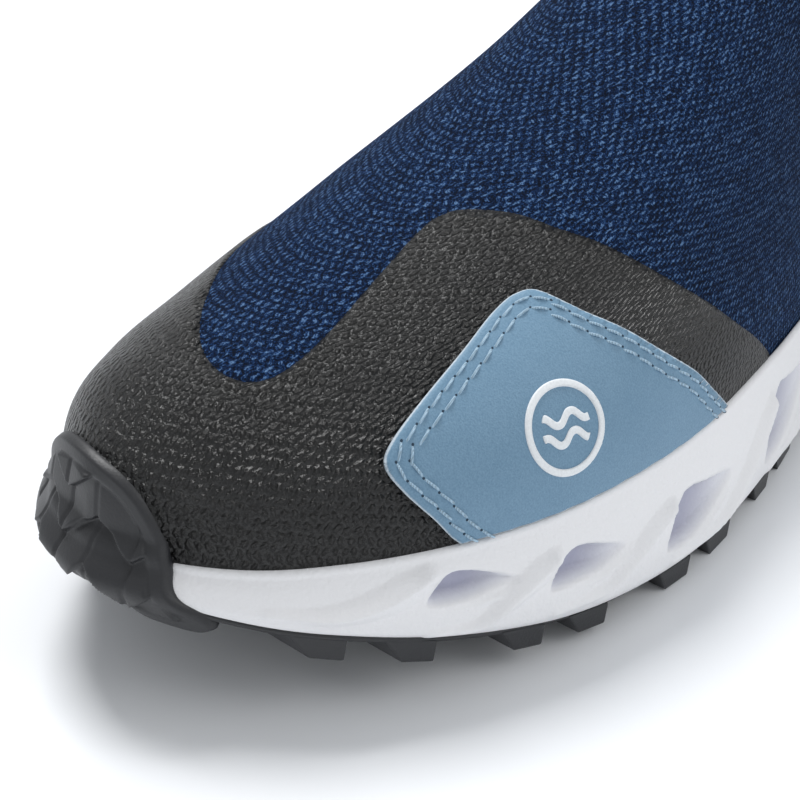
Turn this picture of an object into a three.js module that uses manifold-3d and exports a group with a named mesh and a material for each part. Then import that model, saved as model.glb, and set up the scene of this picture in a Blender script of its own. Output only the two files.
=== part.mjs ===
// One ankle-high neoprene boot for the left foot: toe toward -Y, outer side +X, sole down.
// Millimetres. Y is measured from the toe tip while building. The finished boot is moved at
// the end, so that its bounding box stands centred on the origin, on z = 0.
import * as THREE from 'three';
import { mergeVertices } from 'three/addons/utils/BufferGeometryUtils.js';
import Module from 'manifold-3d';

const wasm = await Module();
wasm.setup();

// ---------------------------------------------------------------- driving sizes
const LENGTH = 300;          // outsole, toe to heel
const WIDTH = 1.0;           // scale on the sole width, about 106 mm across the ball at 1
const TOE_SPRING = 20.3;     // how far the toe tip stands off the ground
const SPRING_LEN = 103;      // stretch of sole that curves up
const LUG = 4.0;             // lug height
const RUBBER = 1.4;          // outsole sheet thickness
const GAP = 0.3;             // clearance between neighbouring pieces
const RIM_INSET = 4.0;       // the upper stands this far inside the sole's edge
const WALL = 3.0;            // knit-faced neoprene
const FILM = 0.8;            // toe and heel film
const PATCH = 1.2;           // side patches
const TAPE = 0.7;            // seam tapes
const STIFFENER = 0.9;       // toe puff and heel counter
const BOARD = 1.4;           // insole board
const SOCKLINER = 4.0;       // removable footbed
const BUMPER = 3.0;          // toe bumper
const COLLAR_TOP = 158;      // collar height above ground at y = 190
const SEAM_Y = 188;          // side seam between vamp and rear quarter, at ground level
const SEAM_LEAN = 0.30;      // the seam leans back by this much per mm of height
const LOOP_WIDTH = 15;       // webbing of the pull loop
const LOOP_THICK = 1.6;
const LOOP_Z = 118;          // height of the loop's sewn end
const BACK_X = 1.5;          // the heel's middle line
const FAR = 310;             // beyond the heel, for cutting outlines

const U = LENGTH / 300;                 // stretch of the lengthwise stations
const SOLE_TOP = LUG + RUBBER + GAP;    // underside of the foam above a lug tip
const WALL_OUT = -FILM - GAP;           // offsets from the boot's outside
const WALL_IN = WALL_OUT - WALL;

// ---------------------------------------------------------------- form curves
const clamp = (v, low, high) => Math.min(high, Math.max(low, v));

// A smooth curve through (position, value) stations; positions run 0..300.
function curve(...stations) {
  const x = stations.map(p => p[0] * U);
  const y = stations.map(p => p[1]);
  const last = x.length - 1;
  const rise = x.slice(1).map((v, i) => (y[i + 1] - y[i]) / (v - x[i]));
  const slope = x.map((v, i) => {
    if (i === 0) return rise[0];
    if (i === last) return rise[last - 1];
    const before = v - x[i - 1];
    const after = x[i + 1] - v;
    return (rise[i - 1] * after + rise[i] * before) / (before + after);
  });
  return v => {
    let i = 0;
    while (i < last - 1 && v > x[i + 1]) i++;
    const h = x[i + 1] - x[i];
    const t = clamp((v - x[i]) / h, 0, 1);
    const s = 1 - t;
    return y[i] * (1 + 2 * t) * s * s + y[i + 1] * t * t * (3 - 2 * t)
      + h * (slope[i] * t * s * s - slope[i + 1] * t * t * s);
  };
}
const byHeight = (...stations) => {
  const f = curve(...stations);
  return z => f(z * U);
};
// Rises from 0 to 1 along a quarter ellipse over the first r.
const roundEnd = (d, r) => Math.sqrt(Math.max(0, 1 - clamp(1 - d / r, 0, 1) ** 2));

const centre = curve([0, -10], [12, -8.5], [45, -3.8], [100, 0.3], [150, 3.2], [190, 3.7], [250, 1.6],
  [300, 0]);
const halfAt = curve([0, 38], [12, 44], [25, 44.8], [45, 46.9], [70, 51.4], [95, 53], [130, 48.3],
  [160, 42], [190, 38.5], [220, 37.9], [250, 38.5], [300, 38.5]);
const half = y => halfAt(y) * WIDTH;
const soleHalf = y => half(y) * roundEnd(y, 60 * U) * roundEnd(LENGTH - y, 40 * U);
const footHalf = (y, inset = RIM_INSET) => {
  const ends = roundEnd(y - inset, 57 * U) * roundEnd(LENGTH - inset - y, 37 * U);
  return Math.max(0.05, (half(y) - inset) * ends);
};
const spring = y => TOE_SPRING * Math.max(0, 1 - y / (SPRING_LEN * U)) ** 2.2
  + 6 * Math.max(0, (y / U - 262) / 38) ** 2;
const rim = curve([0, 29.3], [20, 28.7], [40, 28.6], [80, 29.6], [115, 31.6], [140, 31], [170, 28.6],
  [200, 28.8], [240, 32], [275, 37.5], [300, 43]);
const footbed = curve([0, 29], [20, 24.5], [45, 19.5], [80, 16.5], [110, 16], [160, 19], [220, 25],
  [300, 27]);
const ridge = curve([0, 30], [6, 43], [14, 50.5], [28, 55.5], [45, 59], [70, 66], [100, 78], [125, 91.5],
  [150, 108], [175, 124], [200, 131], [230, 122], [262, 100], [285, 78], [300, 50]);
const legY = byHeight([20, 238], [45, 239], [70, 239], [100, 238], [130, 238], [180, 240]);
const legA = byHeight([20, 24], [45, 30], [70, 33.5], [100, 34.5], [130, 35], [180, 37]);
const legB = byHeight([20, 48], [45, 55], [70, 54], [100, 50.5], [130, 49.5], [180, 52]);

// Distance-like field of the boot's outside, negative inside: foot and leg, blended.
function field(x, y, z) {
  const base = rim(y);
  const top = Math.max(ridge(y), base + 0.5);
  const up = Math.max(0, (z - base) / (top - base));
  const narrow = clamp((y / U - 90) / 120, 0, 1) * 0.18;
  const width = footHalf(y);
  const side = Math.abs(x - centre(y)) / (width * (1 - narrow * Math.min(1, up)));
  const scale = Math.max(14, Math.min(width, top - base));
  const round = ((side ** 2.35 + up ** 2.1) ** (1 / 2.2) - 1) * scale;
  const foot = Math.max(round, RIM_INSET - y, y - (LENGTH - RIM_INSET));
  const a = legA(z);
  const leg = (Math.hypot((x - BACK_X) / a, (y - legY(z) * U) / (legB(z) * U)) - 1) * a;
  const blend = 20 - 15 * clamp((y / U - 195) / 50, 0, 1);   // wide over the instep, tight at the heel
  const h = Math.max(blend - Math.abs(foot - leg), 0) / blend;
  return Math.min(foot, leg) - h * h * blend / 4;
}
// Halving search for where a test turns from true to false.
function edgeOf(test, from, to) {
  let [low, high] = [from, to];
  for (let i = 0; i < 34; i++) {
    const mid = (low + high) / 2;
    if (test(mid)) low = mid; else high = mid;
  }
  return low;
}
const collarZ = y => COLLAR_TOP + 0.1 * (y / U - 190);
const levelZ = (level, y) => footbed(y) + (collarZ(y) - footbed(y)) * level;

// Point on the outside: angle round the boot (-90 toe, 90 heel), level (0 footbed, 1 collar), offset.
function surf(angle, level, offset = 0) {
  const lift = clamp(level, 1e-4, 1);
  const middle = (150 + 88 * lift ** 0.8) * U;
  const turn = angle * Math.PI / 180;
  const dx = Math.cos(turn);
  const dy = (2.2 - 0.8 * lift) * Math.sin(turn);
  const inside = r => {
    const y = middle + r * dy;
    return y > 0 && y < LENGTH && field(r * dx, y, levelZ(level, y)) < 0;
  };
  const reach = edgeOf(inside, 0, 100 * U);
  const y = middle + reach * dy;
  const p = [reach * dx, y, levelZ(level, y)];
  const slope = [0, 1, 2].map(axis => {
    const [ahead, behind] = [0.6, -0.6].map(step => p.map((v, i) => (i === axis ? v + step : v)));
    return field(...ahead) - field(...behind);
  });
  const atCollar = level >= 0.98;          // the collar's edge keeps its height
  const inSole = p[2] < rim(y) + 1;        // walls are upright inside the sole
  if (atCollar || inSole) slope[2] = 0;
  const size = Math.hypot(...slope);
  return p.map((v, i) => v + slope[i] / size * offset);
}

// ---------------------------------------------------------------- solids
function solid(verts, tris) {
  const at = new THREE.Vector3();
  let volume = 0;
  for (const tri of tris) {
    const [a, b, c] = tri.map(i => new THREE.Vector3(...verts[i]));
    volume += a.dot(at.crossVectors(b, c));
  }
  const outward = volume < 0 ? tris.map(([a, b, c]) => [a, c, b]) : tris;
  return new wasm.Manifold(new wasm.Mesh({
    numProp: 3,
    vertProperties: new Float32Array(verts.flat()),
    triVerts: new Uint32Array(outward.flat()),
  }));
}
function manifoldOf(geometry) {
  geometry.deleteAttribute('normal');
  geometry.deleteAttribute('uv');
  const merged = mergeVertices(geometry, 1e-4);
  return new wasm.Manifold(new wasm.Mesh({
    numProp: 3,
    vertProperties: new Float32Array(merged.attributes.position.array),
    triVerts: new Uint32Array(merged.index.array),
  }));
}
// Closed rings joined one after another, with a fan over each end.
function loft(rings) {
  const n = rings[0].length;
  const verts = rings.flat();
  const tris = [];
  for (let i = 0; i < rings.length - 1; i++) {
    for (let j = 0; j < n; j++) {
      const [a, b] = [i * n + j, i * n + (j + 1) % n];
      tris.push([a, b, b + n], [a, b + n, a + n]);
    }
  }
  for (const i of [0, rings.length - 1]) {
    verts.push(rings[i].reduce((sum, p) => sum.map((v, k) => v + p[k] / n), [0, 0, 0]));
    const hub = verts.length - 1;
    for (let j = 0; j < n; j++) {
      const [a, b] = [i * n + j, i * n + (j + 1) % n];
      tris.push(i ? [hub, a, b] : [hub, b, a]);
    }
  }
  return solid(verts, tris);
}
// Angles round the boot, closer together at toe and heel.
const COLUMNS = 36;
const ANGLES = Array.from({ length: COLUMNS },
  (_, i) => i * 360 / COLUMNS - 90 - 8.1 * Math.sin(i * 4 * Math.PI / COLUMNS));

// A closed section of [offset, level] corners carried round the boot. Faces of neighbouring
// layers share their diagonals, so that the layers stay parallel.
function hoop(section) {
  const m = section.length;
  const verts = section.flatMap(([offset, level]) => ANGLES.map(t => surf(t, level, offset)));
  const tris = [];
  for (let i = 0; i < m; i++) {
    const k = (i + 1) % m;
    const downward = section[k][1] < section[i][1];
    for (let j = 0; j < COLUMNS; j++) {
      const l = (j + 1) % COLUMNS;
      const [a, b, c, e] = [i * COLUMNS + j, i * COLUMNS + l, k * COLUMNS + l, k * COLUMNS + j];
      if (downward) tris.push([a, b, e], [b, c, e]);
      else tris.push([a, b, c], [a, c, e]);
    }
  }
  return solid(verts, tris);
}
const band = (outer, inner, levels) => hoop([
  ...levels.map(level => [outer, level]),
  ...levels.map(level => [inner, level]).reverse(),
]);
const core = (offset, levels) => loft(levels.map(level => ANGLES.map(t => surf(t, level, offset))));

// A plate across the sole: sections at stations along y, from a profile of [side inset, z].
function plate(from, to, count, halfWidth, profile) {
  const rings = Array.from({ length: count }, (_, i) => {
    const y = from + (to - from) * (1 - Math.cos(Math.PI * i / (count - 1))) / 2;
    const width = Math.max(0.5, halfWidth(y));
    const c = centre(y);
    const corners = profile(y).map(([inset, z]) => [Math.max(0.25, width - inset), z]);
    const right = corners.map(([x, z]) => [c + x, y, z]);
    const left = corners.map(([x, z]) => [c - x, y, z]).reverse();
    return [...right, [c, y, corners.at(-1)[1]], ...left, [c, y, corners[0][1]]];
  });
  return loft(rings);
}
// A flat outline pushed along one axis: (y, z) along x, (x, z) along y or (x, y) along z.
function prism(axis, outline, from, to) {
  const shape = new THREE.Shape(outline.map(p => new THREE.Vector2(...p)));
  const geometry = new THREE.ExtrudeGeometry(shape, { depth: to - from, bevelEnabled: false });
  geometry.translate(0, 0, from);
  const turn = new THREE.Matrix4();
  if (axis === 'x') turn.set(0, 0, 1, 0, 1, 0, 0, 0, 0, 1, 0, 0, 0, 0, 0, 1);
  if (axis === 'y') turn.set(1, 0, 0, 0, 0, 0, -1, 0, 0, 1, 0, 0, 0, 0, 0, 1);
  geometry.applyMatrix4(turn);
  return manifoldOf(geometry);
}
// An outline moved outwards from its middle.
function grow(outline, by) {
  const [cx, cy] = [0, 1].map(k => outline.reduce((sum, p) => sum + p[k], 0) / outline.length);
  return outline.map(([x, y]) => {
    const reach = Math.hypot(x - cx, y - cy);
    const scale = (reach + by) / reach;
    return [cx + (x - cx) * scale, cy + (y - cy) * scale];
  });
}
const stretch = outline => outline.map(([y, z]) => [y * U, z]);
const plan = outline => outline.map(([x, y]) => [x * WIDTH, y * U]);
const everywhere = solidOutline => prism('x', stretch(solidOutline), -90, 90);
const outerSide = outline => prism('x', stretch(outline), 5, 90);
const innerSide = outline => prism('x', stretch(outline), -90, -5);

// ---------------------------------------------------------------- sole unit
const LEVELS = [0, 0.07, 0.14, 0.21, 0.28, 0.35, 0.42, 0.50, 0.60, 0.70, 0.81];
const LOW_LEVELS = LEVELS.filter(level => level <= 0.5);
const footRoom = core(GAP, [-0.012, ...LOW_LEVELS]);
const bedBottom = y => footbed(y) - GAP - BOARD - GAP;
const bedRoom = plate(RIM_INSET - 0.5, LENGTH - RIM_INSET + 0.5, 30, y => footHalf(y, RIM_INSET - 0.7),
  y => [[0, bedBottom(y)], [0, Math.max(footbed(y), rim(y) + 3)]]);
const foamBlock = plate(0.6, LENGTH - 0.6, 36, soleHalf, y => {
  const bottom = SOLE_TOP + spring(y);
  const tall = rim(y) - bottom;
  return [[1.6, bottom], [0, bottom + tall * 0.25], [0.9, bottom + tall * 0.6], [3.0, rim(y)]];
});
// Shield-shaped outline of the toe bumper seen from the front (x, z).
const SHIELD = [[-36, 22], [-33, 27], [-29, 33], [-25, 40.5], [-19, 44], [-12, 44.8], [-4, 43.5], [0.5, 40.5],
  [4.5, 33], [7, 26.5], [14, 20]].map(([x, z]) => [x * WIDTH, z]);
const SHIELD_FROM = -13;
const SHIELD_TO = 20;
const foamCup = foamBlock.subtract(footRoom).subtract(bedRoom)
  .subtract(prism('y', grow(SHIELD, GAP), SHIELD_FROM - GAP, SHIELD_TO));

// Blind leaf-shaped windows along each side of the foam: middle (y, z), length, height.
const WINDOWS = [[42, 21.6, 15, 8], [63, 18.6, 17, 9], [95, 15.6, 23, 12], [137, 15.5, 30, 14],
  [178, 14.5, 30, 13], [218, 16, 30, 14], [254, 19, 24, 15]];
const WINDOW_DEPTH = 2.6;
const LEAF = [[-0.5, -0.42], [-0.32, 0.2], [-0.08, 0.5], [0.3, 0.5], [0.5, 0.38], [0.3, 0.05], [0.02, -0.25],
  [-0.3, -0.45]];
function windowCutter([y, z, length, tall], side) {
  const edge = at => centre(at) + side * soleHalf(at);
  const [middle, x] = [y * U, edge(y * U)];
  const run = 8 * U;
  const heading = Math.atan((edge(middle + run) - edge(middle - run)) / (2 * run));
  const outline = LEAF.map(([a, b]) => [a * length * U, z + b * tall]);
  const [near, far] = [-side * WINDOW_DEPTH, side * 14];
  const cutter = prism('x', outline, Math.min(near, far), Math.max(near, far));
  const move = new THREE.Matrix4().makeTranslation(x, middle, 0);
  return cutter.transform(move.multiply(new THREE.Matrix4().makeRotationZ(-heading)).elements);
}
let midsole = foamCup;
for (const leaf of WINDOWS) {
  for (const side of [1, -1]) midsole = midsole.subtract(windowCutter(leaf, side));
}

const sheet = plate(0.8, LENGTH - 0.8, 36, y => soleHalf(y) - 0.5,
  y => [[0.3, LUG + spring(y) - 0.2], [0, LUG + RUBBER + spring(y)]]);
// One lug: sloped face toward the toe, steep face toward the heel.
const LUG_RAMP = 2.4;
function lug(y0, y1, x0, x1) {
  const ring = (z, front, back) => [[x0, front], [x1, front], [x1, back], [x0, back]]
    .map(([x, y]) => [x, y * U, z + spring(y * U)]);
  return loft([ring(0, y0 + LUG_RAMP, y1 - 0.6), ring(LUG + 0.6, y0, y1)]);
}
const LUG_ROWS = [[15.6, 23], [27.8, 35.6], [46.6, 55], [60, 69.3], [83.4, 93.6], [99.2, 110], [122, 131.5],
  [136, 148.5], [160, 170], [174, 186], [198, 208], [212, 224], [236, 246], [250, 262], [271, 280],
  [284, 292]];
const lugs = LUG_ROWS.flatMap(([a, b], i) => {
  const c = centre((a + b) / 2 * U);
  const edge = Math.min(soleHalf(a * U), soleHalf(b * U)) - 1.2;
  const inner = Math.max(4, edge * (i % 2 ? 0.52 : 0.62));
  const row = [lug(a, b, c + inner, c + edge), lug(a, b, c - edge, c - inner)];
  if (edge > 24) row.push(lug(a + 2, b + 1, c - edge * 0.36, c + edge * 0.36));
  return row;
});
const bumperShell = foamBlock.add(core(BUMPER + GAP, [0, 0.03, 0.06, 0.1, 0.14, 0.18, 0.22, 0.26]));
const bumper = prism('y', SHIELD, SHIELD_FROM, SHIELD_TO).intersect(bumperShell)
  .subtract(footRoom).subtract(bedRoom);
const bumperRoot = plate(0.8, 12, 8, y => soleHalf(y) - 0.5,
  y => [[0.3, LUG + spring(y)], [0, SOLE_TOP + 2 + spring(y)]]);
const bumperFoot = prism('y', grow(SHIELD, -1).filter(([, z]) => z < 30), -9, 1.2).intersect(bumperRoot);
const outsole = [...lugs, bumper, bumperFoot].reduce((all, piece) => all.add(piece), sheet);

const board = plate(RIM_INSET + 0.6, LENGTH - RIM_INSET - 0.6, 26, y => footHalf(y, RIM_INSET + 0.5),
  y => [[0, footbed(y) - GAP - BOARD], [0, footbed(y) - GAP]]);
const LINER_INSET = RIM_INSET + FILM + GAP + WALL + 2.6;
const liner = plate(LINER_INSET + 1.5, LENGTH - LINER_INSET - 1.5, 26, y => footHalf(y, LINER_INSET),
  y => [[0.4, footbed(y) + GAP], [0, footbed(y) + SOCKLINER]]);

// Shank under the waist, let into the underside of the foam.
const SHANK_FROM = 128;
const SHANK_TO = 208;
const shankHalf = y => 13 * roundEnd(y / U - SHANK_FROM, 14) * roundEnd(SHANK_TO - y / U, 14) + 0.6;
const shank = plate(SHANK_FROM * U, SHANK_TO * U, 12, shankHalf, () => [[0, SOLE_TOP], [0.6, SOLE_TOP + 2]]);
const shankRoom = plate((SHANK_FROM - 0.4) * U, (SHANK_TO + 0.4) * U, 12, y => shankHalf(y) + 0.4,
  () => [[0, SOLE_TOP - 1], [0.4, SOLE_TOP + 2 + GAP]]);
midsole = midsole.subtract(shankRoom);

// ---------------------------------------------------------------- upper
const knit = band(WALL_OUT, WALL_IN, LEVELS);
// Everything behind the leaning side seam.
const behindSeam = shift => {
  const seam = z => SEAM_Y + shift + z * SEAM_LEAN;
  return everywhere([[seam(10), 10], [seam(190), 190], [420, 190], [420, 10]]);
};
const vamp = knit.subtract(behindSeam(-GAP / 2));
const quarter = knit.intersect(behindSeam(GAP / 2));
const collar = band(WALL_OUT, WALL_IN, [0.8125, 0.87, 0.93, 0.985]);
const FOLD = 1.5;            // the binding stands this far over the collar on each side
const binding = hoop([
  [WALL_OUT + FOLD, 0.955], [WALL_OUT + FOLD, 1], [WALL_IN - FOLD, 1], [WALL_IN - FOLD, 0.955],
  [WALL_IN - GAP, 0.955], [WALL_IN - GAP, 0.988], [WALL_OUT + GAP, 0.988], [WALL_OUT + GAP, 0.955]]);

// Toe film: a shell over the knit, less the field of bare knit seen from above (x, y) and the
// parts behind its wings seen from each side (y, z).
const bareTop = [[38, 93], [30.5, 87.7], [22.4, 83.6], [15.8, 81.3], [9.4, 78.6], [5, 75.5], [3.6, 70],
  [4.8, 62], [6.5, 51], [7.9, 40], [8.2, 32], [6.6, 27], [3.2, 24.2], [-1, 24], [-6, 25.8], [-13, 31.4],
  [-20, 38], [-26.5, 47], [-33, 56], [-33, FAR], [38, FAR]];
const bareOuter = [[92.9, 60.6], [101.5, 53.3], [113, 44], [126.5, 33.7], [134, 27], [150, 10],
  [FAR, 10], [FAR, 200], [92.9, 200]];
const bareInner = [[55.9, 54.6], [74.6, 54.1], [90, 53], [105.8, 50.4], [119, 48], [130.8, 44.5], [138, 40],
  [142.5, 35.3], [144, 28], [146, 10], [FAR, 10], [FAR, 200], [55.9, 200]];
const filmShell = band(0, -FILM, LOW_LEVELS);
const toeFilm = filmShell.subtract(prism('z', plan(bareTop), 0, 200))
  .subtract(prism('x', stretch(bareOuter), 37.9 * WIDTH, 90))
  .subtract(prism('x', stretch(bareInner), -90, -32.9 * WIDTH));
const heelFilm = filmShell.intersect(everywhere([[FAR, 96], [290, 92], [272, 80], [256, 62], [240, 46],
  [224, 34], [212, 24], [212, 10], [FAR, 10]]));

// Side patches over the film, cut off above the foam's rim.
const patchShell = band(GAP + PATCH, GAP, LOW_LEVELS);
const aboveRim = plate(0, LENGTH, 30, y => soleHalf(y) + 20, y => [[0, rim(y) + 0.9], [0, rim(y) + 60]]);
const patchOutline = [[43, 26], [41, 29], [36.5, 35], [33.2, 41], [33.8, 45], [38, 48], [48, 52.6],
  [60, 57.5], [67.5, 60.2], [71, 60], [75, 57.3], [82, 52.3], [91.5, 44.5], [99, 37], [107, 29], [110, 26]];
const innerOutline = [[80, 20], [71, 27], [63.5, 30.3], [59, 33], [59, 35], [63, 37.6], [69, 40.8],
  [73.4, 43], [78, 44], [84, 43.9], [96.6, 42.2], [113.7, 39.8], [129.6, 35.5], [136, 31.5], [141, 27.5], [143, 23],
  [128, 20]];
const patchLateral = patchShell.intersect(outerSide(patchOutline)).intersect(aboveRim);
const patchMedial = patchShell.intersect(innerSide(innerOutline)).intersect(aboveRim);

// Round raised mark on the outer patch.
const MARK_AT = [-53.5, 0.198];
const MARK_RADIUS = 8;
const MARK_THICK = 0.5;
const markSpot = new THREE.Vector3(...surf(...MARK_AT));
const markFacing = new THREE.Vector3(...surf(...MARK_AT, 1)).sub(markSpot);
const disc = new THREE.CylinderGeometry(MARK_RADIUS, MARK_RADIUS, 12, 20);
disc.applyQuaternion(new THREE.Quaternion().setFromUnitVectors(new THREE.Vector3(0, 1, 0), markFacing));
disc.translate(...markSpot);
const patchTop = 2 * GAP + PATCH;
const mark = band(patchTop + MARK_THICK, patchTop, LOW_LEVELS).intersect(manifoldOf(disc));

// Seam tapes, outside, over the joint between vamp and rear quarter.
const TAPE_HALF = 3.5;
const seamStrip = [[-TAPE_HALF, 34], [-TAPE_HALF, 118], [TAPE_HALF, 118], [TAPE_HALF, 34]]
  .map(([across, z]) => [SEAM_Y + across + z * SEAM_LEAN, z]);
const tapeShell = band(-FILM + TAPE, -FILM, LEVELS);
const tapeLateral = tapeShell.intersect(outerSide(seamStrip));
const tapeMedial = tapeShell.intersect(innerSide(seamStrip));

// Stiffeners behind the wall, at toe and heel.
const innerShell = band(WALL_IN - GAP, WALL_IN - GAP - STIFFENER, LEVELS.filter(v => v >= 0.07 && v <= 0.42));
const toePuff = innerShell.intersect(everywhere([[0, 0], [34, 0], [34, 100], [0, 100]]));
const heelCounter = innerShell.intersect(everywhere([[FAR, 24], [FAR, 76], [288, 74], [262, 60], [238, 46],
  [226, 36], [224, 24]]));

// Woven label inside the collar, at the back.
const labelShell = band(WALL_IN - GAP - 0.01, WALL_IN - GAP - 0.6, [0.83, 0.87, 0.93]);
const atBack = stretch([[270, 100], [FAR, 100], [FAR, 190], [270, 190]]);
const label = labelShell.intersect(prism('x', atBack, -9, 12));

// ---------------------------------------------------------------- heel pull loop
const backAt = z => edgeOf(y => field(BACK_X, y, z) < 0, 200 * U, LENGTH);
const low = backAt(LOOP_Z) + 0.4;
const high = backAt(LOOP_Z + 36) + 2.6;
const loopOutline = [[low + 0.6, 3], [low + 9, 8], [low + 15.5, 17], [low + 17, 27], [low + 13, 35.5],
  [high + 2.6, 38], [high + 0.8, 34], [high + 0.3, 24], [low + 1.6, 11]].map(([y, z]) => [y, z + LOOP_Z]);
const loopInside = loopOutline.map(([y, z], i, all) => {
  const before = all.at(i - 1);
  const after = all[(i + 1) % all.length];
  const [dy, dz] = [after[0] - before[0], after[1] - before[1]];
  const scale = LOOP_THICK / Math.hypot(dy, dz);
  return [y - dz * scale, z + dy * scale];
});
const pullLoop = prism('x', loopOutline, BACK_X - LOOP_WIDTH / 2, BACK_X + LOOP_WIDTH / 2)
  .subtract(prism('x', loopInside, -LOOP_WIDTH, LOOP_WIDTH + 3));
const anchorOutline = [[low, -16], [low, 1.2], [low + 1.8, 1.6], [low + 3.0, -0.5], [low + 2.4, -15.5]]
  .map(([y, z]) => [y, z + LOOP_Z]);
const anchorHalf = LOOP_WIDTH / 2 + 1;
const anchor = prism('x', anchorOutline, BACK_X - anchorHalf, BACK_X + anchorHalf)
  .subtract(band(GAP / 2, -8, [0.5, 0.6, 0.7, 0.81]));

// ---------------------------------------------------------------- assembly
const look = (color, roughness) => new THREE.MeshStandardMaterial({ color, roughness });
const rubber = look(0x1b1c1f, 0.8);
const foam = look(0xf2f3f6, 0.6);
const knitted = look(0x1c3a6b, 0.9);
const film = look(0x26272a, 0.6);
const neoprene = look(0x16233d, 0.9);
const blue = look(0x7795b2, 0.6);
const white = look(0xf4f5f7, 0.5);
const grey = look(0x3a3d42, 0.9);
const tan = look(0xb9a78a, 0.9);
const PIECES = {
  outsole: [outsole, rubber],
  midsole: [midsole, foam],
  shank: [shank, grey],
  insole_board: [board, tan],
  sockliner: [liner, neoprene],
  vamp: [vamp, knitted],
  rear_quarter: [quarter, knitted],
  collar: [collar, neoprene],
  collar_binding: [binding, grey],
  toe_film: [toeFilm, film],
  heel_film: [heelFilm, film],
  patch_lateral: [patchLateral, blue],
  patch_medial: [patchMedial, blue],
  patch_mark: [mark, white],
  seam_tape_lateral: [tapeLateral, grey],
  seam_tape_medial: [tapeMedial, grey],
  toe_puff: [toePuff, grey],
  heel_counter: [heelCounter, grey],
  pull_loop: [pullLoop, blue],
  loop_anchor: [anchor, blue],
  collar_label: [label, white],
};

function meshOf(name, body, material) {
  const raw = body.getMesh();
  const corners = Array.from({ length: raw.numVert }, (_, i) => {
    const start = i * raw.numProp;
    return [...raw.vertProperties.slice(start, start + 3)];
  });
  const geometry = new THREE.BufferGeometry();
  geometry.setAttribute('position', new THREE.BufferAttribute(new Float32Array(corners.flat()), 3));
  geometry.setIndex(new THREE.BufferAttribute(new Uint32Array(raw.triVerts), 1));
  geometry.computeVertexNormals();
  const mesh = new THREE.Mesh(geometry, material);
  mesh.name = name;
  return mesh;
}
const boot = new THREE.Group();
boot.name = 'neoprene_boot';
for (const [name, [body, material]] of Object.entries(PIECES)) boot.add(meshOf(name, body, material));

const box = new THREE.Box3().setFromObject(boot);
const middle = box.getCenter(new THREE.Vector3());
for (const mesh of boot.children) mesh.geometry.translate(-middle.x, -middle.y, -box.min.z);

export default boot;
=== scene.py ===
# %% [markdown]
# # A neoprene water-sports boot
# The boot is a knit-faced neoprene sock on a white foam sole. A thin black film is pressed over the
# toe, a light blue patch is sewn on each side, and black rubber wraps the sole and the toe tip.
# We load the engineering model first: it fixes every size and place, and the looks are built on it.

# %% Load the frame
import math

import bpy
import bmesh
import numpy as np
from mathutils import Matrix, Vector


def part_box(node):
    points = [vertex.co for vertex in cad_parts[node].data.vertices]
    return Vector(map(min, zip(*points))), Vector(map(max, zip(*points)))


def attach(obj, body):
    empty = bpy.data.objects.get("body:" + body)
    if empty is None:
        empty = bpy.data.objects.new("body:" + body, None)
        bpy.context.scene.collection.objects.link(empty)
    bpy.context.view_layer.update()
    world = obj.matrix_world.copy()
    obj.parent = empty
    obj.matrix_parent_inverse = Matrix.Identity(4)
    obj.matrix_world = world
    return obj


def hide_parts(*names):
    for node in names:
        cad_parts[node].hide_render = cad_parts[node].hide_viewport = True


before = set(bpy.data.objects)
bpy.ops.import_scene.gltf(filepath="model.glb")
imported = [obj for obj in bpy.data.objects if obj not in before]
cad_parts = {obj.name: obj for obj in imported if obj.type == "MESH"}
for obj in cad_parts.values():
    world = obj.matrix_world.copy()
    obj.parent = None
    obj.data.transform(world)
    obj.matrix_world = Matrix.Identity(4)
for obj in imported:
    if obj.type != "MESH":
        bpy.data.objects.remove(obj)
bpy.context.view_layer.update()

MM = 0.001

# %% [markdown]
# ## The form
# A shoemaker works from a last: a solid foot shape. Ours is a formula. Smooth curves along the boot
# give the sole's half width, the rim of the foam, the ridge over the foot and so on. They are
# written in millimetres from the toe tip, and `place` moves them into the frame.

# %% Curves along the boot
LENGTH = 300
TOE_SPRING, SPRING_LEN = 20.3, 103
HEEL_SPRING, HEEL_SPRING_LEN = 6, 38
LUG, RUBBER = 4.0, 1.4
RIM_INSET, TOE_ROUND, HEEL_ROUND = 4.0, 60, 40
WALL = 3.0
COLLAR_TOP = 158
BACK_X = 1.5
SEAM_Y, SEAM_LEAN = 188, 0.30


def curve(*points):
    """A smooth function through (position, value) stations."""
    x, y = np.array(points, float).T
    step, rise = np.diff(x), np.diff(y) / np.diff(x)
    inner = (rise[:-1] * step[1:] + rise[1:] * step[:-1]) / (step[:-1] + step[1:])
    slope = np.concatenate([rise[:1], inner, rise[-1:]])

    def at(v):
        v = np.asarray(v, float)
        i = np.clip(np.searchsorted(x, v) - 1, 0, len(x) - 2)
        h = x[i + 1] - x[i]
        t = np.clip((v - x[i]) / h, 0, 1)
        s = 1 - t
        return (y[i] * (1 + 2 * t) * s * s + y[i + 1] * t * t * (3 - 2 * t)
                + h * (slope[i] * t * s * s - slope[i + 1] * t * t * s))
    return at


def smooth(low, high, v):
    """0 below low, 1 above high, with a soft step between."""
    t = np.clip((v - low) / (high - low), 0, 1)
    return t * t * (3 - 2 * t)


def round_end(d, r):
    """Share of the full width at a distance d from a round end of radius r."""
    return np.sqrt(1 - np.clip(1 - d / r, 0, 1) ** 2)


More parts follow.
